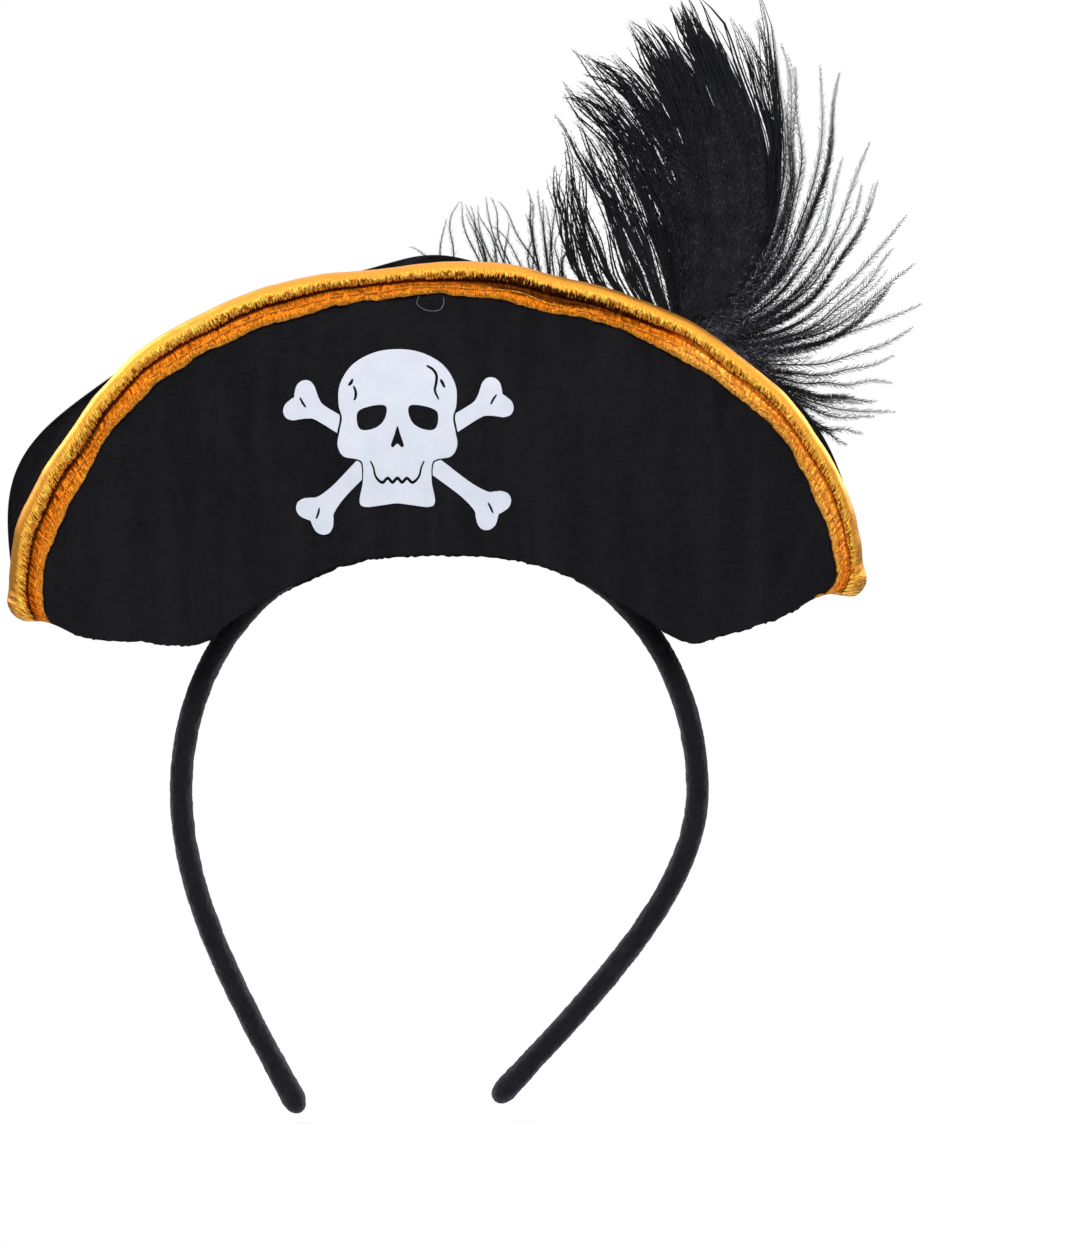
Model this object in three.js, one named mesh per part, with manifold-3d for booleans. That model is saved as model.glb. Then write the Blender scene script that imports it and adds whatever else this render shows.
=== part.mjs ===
// A mini pirate hat on a velvet covered headband, for fancy dress. Millimetres, +Z up, the hat faces -Y.
// The origin is the middle of the headband's inner face, where it rests on top of the head.
//
// The headband is a springy plastic hoop in a velvet sleeve. On top of it sits a stuffed velvet crown
// between two turned-up brims, each a sheet of foam between velvet layers, with a gold band sewn over its
// upper edge. A white skull and crossbones film is pressed on the front brim. An ostrich plume stands in
// the pocket behind the crown.
// Each arm of the hoop springs outwards at its shoulder, and the plume sways on its root.

import * as THREE from "three";
import { mergeVertices } from "three/addons/utils/BufferGeometryUtils.js";
import Module from "manifold-3d";

const wasm = await Module();
wasm.setup();

// ---------------------------------------------------------------- driving dimensions

const HOOP_HALF_WIDTH = 48.5; // centre line of the hoop at its widest
const HOOP_WIDEST_Z = -45;
const HOOP_FLAT = 10; // straight length on top of the head
const SLEEVE_THICK = 4.2;
const SLEEVE_WIDE = 9;
const TIP_LENGTH = 2.4; // how far the sleeve's rounded end reaches past the centre line
const CORE_THICK = 1.4;
const CORE_WIDE = 6.5;
const CORE_FIT = 0.25; // room round the plastic strip inside its sleeve
const LEFT_TIP = [-27.1, -103.4];
const RIGHT_TIP = [12.0, -101.6];
const SPRING_GAP = 0.7; // half of the room left at each shoulder for the arm to spring
const SHOULDER_T = 0.7; // where on the shoulder curve the arm begins to spring

const HAT_MIDDLE_X = -0.4;
const HAT_LOW_Z = -17; // bottom of the side lobes
const HAT_HIGH_Z = 54; // top of the front brim
const BRIM_CENTRE_Z = -5; // centre of the ellipse that the brims' upper edges follow
const BASE_DEPTH = 18; // half of the hat's depth at the middle
const TIP_DEPTH = 6; // half of its depth at the left and right tips
const BULGE = 2.5;

const VELVET = 0.6;
const FOAM = 1.8;
const LAYER_GAP = 0.1;
const STACK = 2 * VELVET + FOAM + 2 * LAYER_GAP;
const CROWN_GAP = 0.4; // between the crown and a brim

const FRONT = { side: -1, half: 80, rise: 59, lean: 9 };
const BACK = { side: 1, half: 79, rise: 55, lean: 6 };
const BRIM_ENDS = [-98, 94]; // where the brims' upper edges start and stop, in degrees from straight up
const CROWN_ENDS = [-94, 91];

const BINDING_WIDTH = 6.8; // from the edge inwards
const BINDING_WALL = 0.9;
const BINDING_ROLL = 1.5; // how far the rolled edge stands out past the fabric
const BINDING_PUFF = 0.6; // how far the rolled edge is fatter than the flanges
const THREAD = 0.3;

const FILM = 0.2;
const SKULL_AT = [-7.6, 23.4];

const STATIONS = 26;

// ---------------------------------------------------------------- materials

function material(color, roughness, metalness = 0) {
  return new THREE.MeshStandardMaterial({ color, roughness, metalness });
}

const velvet = material(0x1b1b20, 0.95);
const foam = material(0x2a2a2c, 0.9);
const felt = material(0x222226, 0.95);
const stuffing = material(0xe6e4de, 1);
const gold = material(0xf0a030, 0.35, 0.9);
const goldThread = material(0xd8a24a, 0.5, 0.4);
const film = material(0xdfe3ee, 0.45);
const plastic = material(0x151517, 0.4);
const glue = material(0xd8d2bc, 0.3);
const quill = material(0x18181a, 0.5);
const barbs = material(0x141418, 0.85);

// ---------------------------------------------------------------- geometry helpers

const point = (x, y, z) => new THREE.Vector3(x, y, z);
const mix = (a, b, t) => a + (b - a) * t;

/** A closed geometry through rings of points, capped at both ends, with its faces out. */
function loft(rings) {
  const n = rings[0].length;
  const positions = rings.flat().flatMap((p) => [p.x, p.y, p.z]);
  const faces = [];
  for (let i = 0; i + 1 < rings.length; i++) {
    for (let j = 0; j < n; j++) {
      const a = i * n + j;
      const b = i * n + ((j + 1) % n);
      // The two halves of a ring are a sheet's two faces: mirrored diagonals keep them parallel.
      if (j < n / 2) faces.push([a, b, b + n], [a, b + n, a + n]);
      else faces.push([a, b, a + n], [b, b + n, a + n]);
    }
  }
  const last = (rings.length - 1) * n;
  for (const [a, b, c] of capOf(rings[0])) faces.push([c, b, a]);
  for (const [a, b, c] of capOf(rings[rings.length - 1])) faces.push([a + last, b + last, c + last]);
  return facingOut(positions, faces);
}

/** Triangles that fill one planar ring, wound the way the ring runs. */
function capOf(ring) {
  const normal = point(0, 0, 0);
  ring.forEach((p, i) => {
    normal.add(p.clone().cross(ring[(i + 1) % ring.length]));
  });
  normal.normalize();
  const u = ring[1].clone().sub(ring[0]).normalize();
  const v = normal.clone().cross(u);
  const flat = ring.map((p) => new THREE.Vector2(p.dot(u), p.dot(v)));
  return THREE.ShapeUtils.triangulateShape(flat, []);
}

function facingOut(positions, faces) {
  const geometry = new THREE.BufferGeometry();
  geometry.setAttribute("position", new THREE.Float32BufferAttribute(positions, 3));
  geometry.setIndex(faces.flat());
  if (volumeOf(geometry) < 0) geometry.setIndex(faces.flatMap(([a, b, c]) => [c, b, a]));
  return geometry;
}

function volumeOf(geometry) {
  const p = geometry.getAttribute("position");
  const index = geometry.getIndex().array;
  const corner = (i) => point(p.getX(index[i]), p.getY(index[i]), p.getZ(index[i]));
  let sum = 0;
  for (let i = 0; i < index.length; i += 3) sum += corner(i).dot(corner(i + 1).cross(corner(i + 2)));
  return sum / 6;
}

/** A three.js geometry as a manifold-3d solid. */
function solid(geometry) {
  const bare = geometry.clone();
  bare.deleteAttribute("normal");
  bare.deleteAttribute("uv");
  const merged = mergeVertices(bare, 1e-3);
  const vertProperties = merged.getAttribute("position").array;
  const triVerts = new Uint32Array(merged.index.array);
  return new wasm.Manifold(new wasm.Mesh({ numProp: 3, vertProperties, triVerts }));
}

/** A manifold-3d solid as a three.js geometry. */
function geometryOf(made) {
  const mesh = made.getMesh();
  const geometry = new THREE.BufferGeometry();
  geometry.setAttribute("position", new THREE.Float32BufferAttribute(mesh.vertProperties, 3));
  geometry.setIndex(new THREE.Uint32BufferAttribute(mesh.triVerts, 1));
  return geometry;
}

const hat = new THREE.Group();

function add(name, geometry, look) {
  geometry.computeVertexNormals();
  const mesh = new THREE.Mesh(geometry, look);
  mesh.name = name;
  hat.add(mesh);
  return mesh;
}

// ---------------------------------------------------------------- the headband

/** One cubic stretch of the hoop's centre line, in the XZ plane. */
function stretch(a, b, c, d) {
  return new THREE.CubicBezierCurve3(...[a, b, c, d].map(([x, z]) => point(x, 0, z)));
}

/** The part of a curve between two of its parameters. */
class Piece extends THREE.Curve {
  constructor(curve, from, to) {
    super();
    Object.assign(this, { curve, from, to });
  }
  getPoint(t, target) {
    return this.curve.getPoint(mix(this.from, this.to, t), target);
  }
}

const HOOP_TOP_Z = SLEEVE_THICK / 2;
const shoulder = (side) =>
  stretch(
    [(side * HOOP_FLAT) / 2, HOOP_TOP_Z],
    [side * 32, HOOP_TOP_Z],
    [side * HOOP_HALF_WIDTH, -20],
    [side * HOOP_HALF_WIDTH, HOOP_WIDEST_Z],
  );
const LOWER_ARM = {
  left: stretch([-HOOP_HALF_WIDTH, HOOP_WIDEST_Z], [-HOOP_HALF_WIDTH, -64], [-39, -81.5], LEFT_TIP),
  right: stretch([HOOP_HALF_WIDTH, HOOP_WIDEST_Z], [HOOP_HALF_WIDTH, -63], [31.1, -81.1], RIGHT_TIP),
};

function path(...curves) {
  const whole = new THREE.CurvePath();
  curves.forEach((c) => whole.add(c));
  return whole;
}

/** The fixed part of the hoop under the hat: down one shoulder, across the flat, down the other. */
function crownPath() {
  const half = HOOP_FLAT / 2;
  const flat = new THREE.LineCurve3(point(-half, 0, HOOP_TOP_Z), point(half, 0, HOOP_TOP_Z));
  const end = trimmed(SHOULDER_T, -SPRING_GAP);
  return path(new Piece(shoulder(-1), end, 0), flat, new Piece(shoulder(1), 0, end));
}

/** A shoulder parameter moved along the curve by some millimetres. */
function trimmed(t, millimetres) {
  const curve = shoulder(1);
  return t + millimetres / curve.getTangent(t).length() / (curve.getLength() * speed(curve, t));
}

/** How fast the curve runs at t, as a share of its length. */
function speed(curve, t) {
  const step = 1e-3;
  return curve.getPoint(t + step).distanceTo(curve.getPoint(t - step)) / (2 * step) / curve.getLength();
}

function armPath(side) {
  const name = side < 0 ? "left" : "right";
  return path(new Piece(shoulder(side), trimmed(SHOULDER_T, SPRING_GAP), 1), LOWER_ARM[name]);
}

/** The sleeve's section, across the hoop's width (x) and thickness (y). */
function sleeveOutline() {
  const outline = new THREE.Shape();
  const corner = SLEEVE_THICK / 2;
  const flat = SLEEVE_WIDE / 2 - corner;
  outline.moveTo(-flat, -corner);
  outline.lineTo(flat, -corner);
  outline.absarc(flat, 0, corner, -Math.PI / 2, Math.PI / 2, false);
  outline.lineTo(-flat, corner);
  outline.absarc(-flat, 0, corner, Math.PI / 2, (3 * Math.PI) / 2, false);
  return outline;
}

function rectangle(Kind, wide, thick) {
  const outline = new Kind();
  outline.moveTo(-wide / 2, -thick / 2);
  outline.lineTo(wide / 2, -thick / 2);
  outline.lineTo(wide / 2, thick / 2);
  outline.lineTo(-wide / 2, thick / 2);
  outline.closePath();
  return outline;
}

function swept(shape, along, steps) {
  return new THREE.ExtrudeGeometry(shape, { extrudePath: along, steps, curveSegments: 4 });
}

function hollowSleeve(along, steps) {
  const shape = sleeveOutline();
  shape.holes.push(rectangle(THREE.Path, CORE_WIDE + 2 * CORE_FIT, CORE_THICK + 2 * CORE_FIT));
  return solid(swept(shape, along, steps));
}

/** The rounded, glued-down end of an arm's sleeve. */
function sleeveEnd(along) {
  const ball = new THREE.SphereGeometry(1, 12, 8);
  ball.scale(SLEEVE_WIDE / 2, SLEEVE_THICK / 2, TIP_LENGTH);
  const direction = along.getTangent(1);
  const wide = point(0, 1, 0);
  const turn = new THREE.Matrix4().makeBasis(wide, direction.clone().cross(wide), direction);
  const at = along.getPoint(1).addScaledVector(direction, 0.4);
  return solid(ball.applyMatrix4(turn).translate(at.x, at.y, at.z));
}

function headband() {
  const CROWN_STEPS = 22;
  const ARM_STEPS = 14;
  const strip = rectangle(THREE.Shape, CORE_WIDE, CORE_THICK);
  add("band_core_crown", swept(strip, crownPath(), CROWN_STEPS), plastic);
  add("band_sleeve_crown", geometryOf(hollowSleeve(crownPath(), CROWN_STEPS)), velvet);
  for (const [name, side] of [["left", -1], ["right", 1]]) {
    const along = armPath(side);
    add(`band_core_${name}`, swept(strip, new Piece(along, 0, 0.93), ARM_STEPS), plastic);
    const sleeve = hollowSleeve(along, ARM_STEPS).add(sleeveEnd(along));
    add(`band_sleeve_${name}`, geometryOf(sleeve), velvet);
  }
}

// ---------------------------------------------------------------- the hat's surfaces

/** How much of the middle's depth is left at x: 1 in the middle, 0 at the tips. */
function fullness(x, half) {
  const share = Math.min(1, Math.abs(x - HAT_MIDDLE_X) / half);
  return (1 - share ** 2) ** 0.7;
}

/** How far a brim's outer face stands from the middle plane. */
function brimDepth(brim, x, z) {
  const up = THREE.MathUtils.clamp((z - HAT_LOW_Z) / (HAT_HIGH_Z - HAT_LOW_Z), 0, 1);
  const middle = BASE_DEPTH + BULGE * Math.sin(Math.PI * up) - brim.lean * up ** 1.5;
  return mix(TIP_DEPTH, middle, fullness(x, brim.half));
}

/** A smooth hump of height 1 at a middle, some degrees wide. */
const hump = (degrees, middle, wide) => Math.exp(-(((degrees - middle) / wide) ** 2));

/** A point on an ellipse a little outside a brim's own, at an angle from straight up. */
function onEllipse(brim, degrees, outwards) {
  const angle = THREE.MathUtils.degToRad(degrees);
  return [
    HAT_MIDDLE_X + (brim.half + outwards) * Math.sin(angle),
    BRIM_CENTRE_Z + (brim.rise + outwards) * Math.cos(angle),
  ];
}

/** A brim's upper edge: half an ellipse, flatter at the upper left and highest just right of the middle. */
function upperEdge(brim, degrees) {
  const left = -1.7 * hump(degrees, -63, 15);
  const top = 0.5 * hump(degrees, 7, 6) - 1.1 * hump(degrees, -7, 9);
  return onEllipse(brim, degrees, left + top);
}

/** A brim's lower edge: a side lobe, the arch over the head, the other lobe. */
const BRIM_LOWER = [
  [-71.4, -13.2], [-69, -15.2], [-65, -16.5], [-56, -17], [-45, -17.3], [-36, -11.5], [-24, -5],
  [-11, -1.2], [11, -1.2], [24, -4.6], [36, -11], [46, -17.1], [52.5, -16.1], [64, -12.4], [69, -9.4],
  [71.2, -7.5],
];

const spline = (points) => new THREE.SplineCurve(points.map(([x, z]) => new THREE.Vector2(x, z)));

/** The grid of a sheet of the hat: for each station, points from the upper edge down to the lower edge. */
function grid(edgeAt, lower, ends, insets, rows) {
  const stations = [];
  for (let i = 0; i <= STATIONS; i++) {
    const t = i / STATIONS;
    const top = new THREE.Vector2(...edgeAt(mix(ends[0], ends[1], t)));
    const bottom = lower.getPointAt(t);
    const long = top.distanceTo(bottom);
    const shares = insets.map((mm) => mm / long);
    const first = shares[shares.length - 1];
    for (let r = 1; r <= rows; r++) shares.push(mix(first, 1, r / rows));
    stations.push(shares.map((w) => ({ at: top.clone().lerp(bottom, w), w })));
  }
  return stations;
}

/** A sheet between two depths, each a function of a grid point. */
function sheet(stations, outer, inner) {
  return loft(
    stations.map((row) => [
      ...row.map((g) => point(g.at.x, outer(g), g.at.y)),
      ...row.toReversed().map((g) => point(g.at.x, inner(g), g.at.y)),
    ]),
  );
}

// ---------------------------------------------------------------- the brims and their gold bands

const brimGrid = (brim, insets, rows) =>
  grid((degrees) => upperEdge(brim, degrees), spline(BRIM_LOWER), BRIM_ENDS, insets, rows);

const UNDER_BINDING = [BINDING_ROLL, 4.2, BINDING_WIDTH];

/** The three layers of a brim, from the outside in. */
function brimLayers(brim, name) {
  const stations = brimGrid(brim, UNDER_BINDING, 4);
  const depth = (below) => (g) => brim.side * (brimDepth(brim, g.at.x, g.at.y) - below);
  const layer = (from, thick) => sheet(stations, depth(from), depth(from + thick));
  add(`${name}_brim_face`, layer(0, VELVET), velvet);
  add(`${name}_brim_foam`, layer(VELVET + LAYER_GAP, FOAM), foam);
  add(`${name}_brim_lining`, layer(VELVET + FOAM + 2 * LAYER_GAP, VELVET), velvet);
}

/** The gold band: a rolled edge and two flanges, one on each face of the brim. */
function binding(brim) {
  const rings = brimGrid(brim, [0, ...UNDER_BINDING], 0).map(([edge, roll, middle, inner]) => {
    const at = (g, off) => point(g.at.x, brim.side * (brimDepth(brim, g.at.x, g.at.y) + off), g.at.y);
    const rollIn = { at: edge.at.clone().lerp(roll.at, 0.8) };
    const GAP = 1.5 * LAYER_GAP;
    const OUT = BINDING_WALL + GAP;
    return [
      at(inner, OUT), at(middle, OUT), at(roll, OUT + BINDING_PUFF), at(edge, 0), at(edge, -STACK),
      at(roll, -STACK - OUT - BINDING_PUFF), at(middle, -STACK - OUT), at(inner, -STACK - OUT),
      at(inner, -STACK - GAP), at(middle, -STACK - GAP), at(rollIn, -STACK - GAP),
      at(rollIn, GAP), at(middle, GAP), at(inner, GAP),
    ];
  });
  return loft(rings);
}

/** The line of sewing along the flange of a gold band, as one thread lying on it. */
function sewing(brim) {
  const rings = brimGrid(brim, [0, ...UNDER_BINDING], 0).map(([, , middle, inner]) => {
    const at = middle.at.clone().lerp(inner.at, 0.45);
    const depth = brimDepth(brim, at.x, at.y) + BINDING_WALL + 3 * LAYER_GAP;
    const y = (off) => brim.side * (depth + off);
    const across = inner.at.clone().sub(middle.at).setLength(THREAD);
    return [
      point(at.x - across.x / 2, y(0), at.y - across.y / 2),
      point(at.x + across.x / 2, y(0), at.y + across.y / 2),
      point(at.x, y(THREAD), at.y),
    ];
  });
  return loft(rings.slice(1, -1));
}

function brim(which, name) {
  brimLayers(which, name);
  add(`${name}_binding`, binding(which), gold);
  add(`${name}_binding_sewing`, sewing(which), goldThread);
}

// ---------------------------------------------------------------- the crown

/** The crown's outline, which shows past the brim at the left, at the top and at the right. */
function crownEdge(degrees) {
  const left = 4.5 * hump(degrees, -70, 15);
  const mound = 2.5 * hump(degrees, -0.5, 7.6);
  const right = 2.1 * hump(degrees, 58.5, 17);
  return onEllipse(FRONT, degrees, left + mound + right - 0.9);
}

/** The crown's lower edge, which clears the hoop where it passes over it. */
const CROWN_LOWER = [
  [-70, -12], [-62, -14.2], [-52, -14.8], [-46, -13.4], [-40, -7.8], [-31, -0.8], [-18, 4.4],
  [-6, 6.1], [6, 6.1], [18, 4.4], [31, -0.8], [40, -7.8], [46, -13.4], [54, -13.2], [62, -10.4],
  [68, -6.8],
];

const RIDGE = 0.9; // half of the crown's thickness at its seam

/** How far the crown reaches from the middle plane towards a brim, at a grid point. */
function crownDepth(g, brim) {
  const binding = BINDING_WALL + LAYER_GAP + BINDING_PUFF;
  const bound = binding * (1 - fullness(g.at.x, brim.half));
  const room = brimDepth(brim, g.at.x, g.at.y) - STACK - CROWN_GAP - bound;
  const rise = Math.sqrt(1 - (1 - g.w) ** 1.8);
  return mix(RIDGE, Math.max(room, RIDGE), rise);
}

function crown() {
  const stations = grid(crownEdge, spline(CROWN_LOWER), CROWN_ENDS, [0, 2, 5, 10], 3);
  for (const [name, brim] of [["front", FRONT], ["back", BACK]]) {
    const face = (below) => (g) => brim.side * (crownDepth(g, brim) - below);
    add(`crown_${name}_panel`, sheet(stations, face(0), face(VELVET + LAYER_GAP)), velvet);
  }
  const inside = stations.slice(2, -2).map((row) => row.slice(1));
  const fill = (brim) => (g) => brim.side * (crownDepth(g, brim) - VELVET - 3 * LAYER_GAP);
  add("crown_stuffing", sheet(inside, fill(FRONT), fill(BACK)), stuffing);
}

/** A strip that follows the crown's lower edge, between two distances below it. */
function strip(from, to) {
  const lower = spline(CROWN_LOWER);
  const rings = [];
  for (let i = 1; i < STATIONS; i++) {
    const at = lower.getPointAt(i / STATIONS);
    const front = -crownDepth({ at, w: 1 }, FRONT);
    const back = crownDepth({ at, w: 1 }, BACK);
    const along = lower.getTangentAt(i / STATIONS);
    const down = new THREE.Vector2(along.y, -along.x);
    const near = at.clone().addScaledVector(down, from);
    const far = at.clone().addScaledVector(down, to);
    rings.push([
      point(near.x, front, near.y), point(near.x, back, near.y),
      point(far.x, back, far.y), point(far.x, front, far.y),
    ]);
  }
  return loft(rings);
}

const FELT_FROM = 0.15;
const FELT_TO = 1.05;

/** A pad of glue that fills the room between the hoop and the felt. */
function gluePad(side) {
  const TALL = 3;
  const at = shoulder(side).getPoint(0.2);
  const along = shoulder(side).getTangent(0.2);
  const outwards = point(-along.z * side, 0, Math.abs(along.x));
  at.addScaledVector(outwards, (SLEEVE_THICK + TALL) / 2 + LAYER_GAP);
  const pad = new THREE.CylinderGeometry(3, 3, TALL, 16).rotateX(Math.PI / 2);
  pad.rotateY(Math.atan2(outwards.x, outwards.z)).translate(at.x, at.y, at.z);
  const felt = solid(strip(-4, FELT_TO + LAYER_GAP));
  return geometryOf(solid(pad).subtract(felt));
}

// ---------------------------------------------------------------- the skull and crossbones

/** A bone: a straight shaft that ends in two knobs, from its inner end outwards along +X. */
function boneOutline(length) {
  const SHAFT = 1.55;
  const KNOB = 2.3;
  const shape = new THREE.Shape();
  shape.moveTo(-2.4, -SHAFT);
  shape.lineTo(length - 4, -SHAFT);
  shape.quadraticCurveTo(length - 3, -SHAFT - 0.2, length - 2.4, -3);
  shape.absarc(length - 0.7, -1.9, KNOB, -2.6, 0.9, false);
  shape.absarc(length - 0.7, 1.9, KNOB, -0.9, 2.6, false);
  shape.quadraticCurveTo(length - 3, SHAFT + 0.2, length - 4, SHAFT);
  shape.lineTo(-2.4, SHAFT);
  return shape;
}

const BONES = {
  bone_upper_left: { at: [-10.3, -0.25], angle: 149, length: 9.6 },
  bone_upper_right: { at: [10.65, 0.15], angle: 32, length: 9.6 },
  bone_lower_left: { at: [-6.5, -7.9], angle: 226, length: 13 },
  bone_lower_right: { at: [7.6, -8.2], angle: -37, length: 13.2 },
};

/** Half of the skull's outline, from the top of the head down to the middle of the chin. */
const SKULL_HALF = [
  [0, 14.1], [4.8, 13.6], [8.6, 11.3], [10.9, 7.6], [11, 4], [10.2, 1.6], [10.8, -1.2], [11, -3.8],
  [9.6, -5.9], [6.6, -6.5], [6.3, -8.6], [6.3, -11], [6.8, -14], [6.1, -15.3], [3.2, -15.2], [0, -14.6],
];
const EYE = [[2.4, 3.8], [6.9, 2.9], [7.2, 0.8], [5.8, -0.9], [3.7, -0.6], [2, 1.2]];
const NOSE = [[0, 0], [1, -2.4], [1.1, -4], [0, -3.6], [-1.1, -4], [-1, -2.4]];

function closedSpline(points, Kind) {
  const curve = new THREE.CatmullRomCurve3(points.map(([x, z]) => point(x, z, 0)), true, "catmullrom", 0.5);
  return new Kind(curve.getPoints(points.length * 2).slice(0, -1).map((p) => new THREE.Vector2(p.x, p.y)));
}

function skullOutline() {
  const mirrored = SKULL_HALF.slice(1, -1).reverse().map(([x, z]) => [-x, z]);
  const counterClockwise = [...SKULL_HALF, ...mirrored].reverse();
  const shape = closedSpline(counterClockwise, THREE.Shape);
  shape.holes.push(closedSpline(EYE, THREE.Path));
  shape.holes.push(closedSpline(EYE.toReversed().map(([x, z]) => [-x, z]), THREE.Path));
  shape.holes.push(new THREE.Path(NOSE.map(([x, z]) => new THREE.Vector2(x, z))));
  return shape;
}

/** A flat outline on the front brim, as a prism that runs through the brim from front to back. */
function emblemPrism(shape, [x, z], degrees = 0) {
  const DEEP = 30;
  const prism = new THREE.ExtrudeGeometry(shape, { depth: DEEP, bevelEnabled: false, curveSegments: 5 });
  prism.rotateZ(THREE.MathUtils.degToRad(degrees)).rotateX(Math.PI / 2);
  prism.translate(x, -5, z);
  return solid(prism);
}

/** The skull and the bones, cut out of a film that follows the brim. The bones stop short of the skull. */
function skullAndCrossbones() {
  const GROWN = 1.035;
  const stations = brimGrid(FRONT, UNDER_BINDING, 4);
  const depth = (off) => (g) => -(brimDepth(FRONT, g.at.x, g.at.y) + off);
  const filmSheet = solid(sheet(stations, depth(LAYER_GAP + FILM), depth(LAYER_GAP)));
  const skull = skullOutline();
  add("skull_film", geometryOf(emblemPrism(skull, SKULL_AT).intersect(filmSheet)), film);
  const grown = new THREE.Shape(skull.getPoints().map((p) => p.clone().multiplyScalar(GROWN)));
  const keptClear = emblemPrism(grown, SKULL_AT);
  for (const [name, bone] of Object.entries(BONES)) {
    const at = [SKULL_AT[0] + bone.at[0], SKULL_AT[1] + bone.at[1]];
    const prism = emblemPrism(boneOutline(bone.length), at, bone.angle).subtract(keptClear);
    add(`${name}_film`, geometryOf(prism.intersect(filmSheet)), film);
  }
}

// ---------------------------------------------------------------- the plume

/** The quill's buried foot, glued into the pocket between the crown and the back brim. */
const FOOT_PATH = new THREE.CatmullRomCurve3([
  point(34, 10.6, 30),
  point(39, 8.7, 34.5),
  point(44.4, 6.4, 39.8),
]);

/** The rest of the quill, from where it leaves the pocket and bends, to its tip. */
const QUILL_PATH = new THREE.CatmullRomCurve3([
  point(45, 6.3, 40.5),
  point(51, 6.9, 47),
  point(57, 7.5, 55),
  point(62, 8.4, 65),
  point(61.5, 9.4, 76),
  point(56, 10.3, 86),
]);

/** A round stem along a curve that thins towards its tip. */
function stem(curve, from, to, steps) {
  const SIDES = 6;
  const frames = curve.computeFrenetFrames(steps);
  const rings = [];
  for (let i = 0; i <= steps; i++) {
    const radius = mix(from, to, i / steps);
    const ring = [];
    for (let k = 0; k < SIDES; k++) {
      const angle = (2 * Math.PI * k) / SIDES;
      const p = curve.getPointAt(i / steps).addScaledVector(frames.normals[i], radius * Math.cos(angle));
      ring.push(p.addScaledVector(frames.binormals[i], radius * Math.sin(angle)));
    }
    rings.push(ring);
  }
  return loft(rings);
}

/** A vane of barbs as a soft slab that leans back as it rises. */
function vane(outline) {
  const THICK = 5;
  const NEAR_Y = 5;
  const LEAN = 0.09;
  const loop = new THREE.CatmullRomCurve3(outline.map(([x, z]) => point(x, z, 0)), true);
  const flat = loop.getPoints(outline.length * 2).slice(0, -1).map((p) => new THREE.Vector2(p.x, p.y));
  const slab = new THREE.ExtrudeGeometry(new THREE.Shape(flat), { depth: THICK, bevelEnabled: false });
  slab.rotateX(Math.PI / 2);
  const p = slab.getAttribute("position");
  for (let i = 0; i < p.count; i++) {
    const lean = LEAN * Math.max(0, p.getZ(i) - HAT_HIGH_Z);
    p.setY(i, p.getY(i) + NEAR_Y + THICK + lean);
  }
  return solid(slab);
}

/** Barbs left of the quill: the dense, drooping side. */
const INNER_VANE = [
  [4, 60.5], [5, 66], [14, 66], [23, 71], [23, 82], [29, 93], [38, 100], [48, 101], [56.5, 91], [60.5, 77],
  [60.5, 66], [54.5, 54.5], [47, 48.5], [36, 52], [20, 58],
];
/** Barbs right of the quill: the open, wispy side. */
const OUTER_VANE = [
  [50.5, 45.5], [58.5, 54.5], [63.6, 65], [63, 77], [59.8, 88], [62, 99], [70, 96], [80, 84], [88, 66],
  [91, 48], [86, 33], [78, 27], [70, 32], [60, 39],
];

function plume() {
  add("plume_quill_foot", stem(FOOT_PATH, 1, 0.95, 6), quill);
  add("plume_quill", stem(QUILL_PATH, 0.95, 0.35, 16), quill);
  const channel = solid(stem(QUILL_PATH, 1.3, 0.7, 16));
  add("plume_inner_vane", geometryOf(vane(INNER_VANE).subtract(channel)), barbs);
  add("plume_outer_vane", geometryOf(vane(OUTER_VANE).subtract(channel)), barbs);
}

// ---------------------------------------------------------------- assembly

headband();
add("base_felt", strip(FELT_FROM, FELT_TO), felt);
add("glue_pad_left", gluePad(-1), glue);
add("glue_pad_right", gluePad(1), glue);
crown();
brim(FRONT, "front");
brim(BACK, "back");
skullAndCrossbones();
plume();

export default hat;
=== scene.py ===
"""A mini pirate hat on a velvet headband, dressed around its CAD frame.

Every shape below is in millimetres in the frame's own axes (+Z up, the hat faces -Y, the origin is where the
headband rests on the head) and is turned into metres when its mesh is made.
"""

import math

import bpy
import numpy as np
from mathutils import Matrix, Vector, geometry


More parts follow.
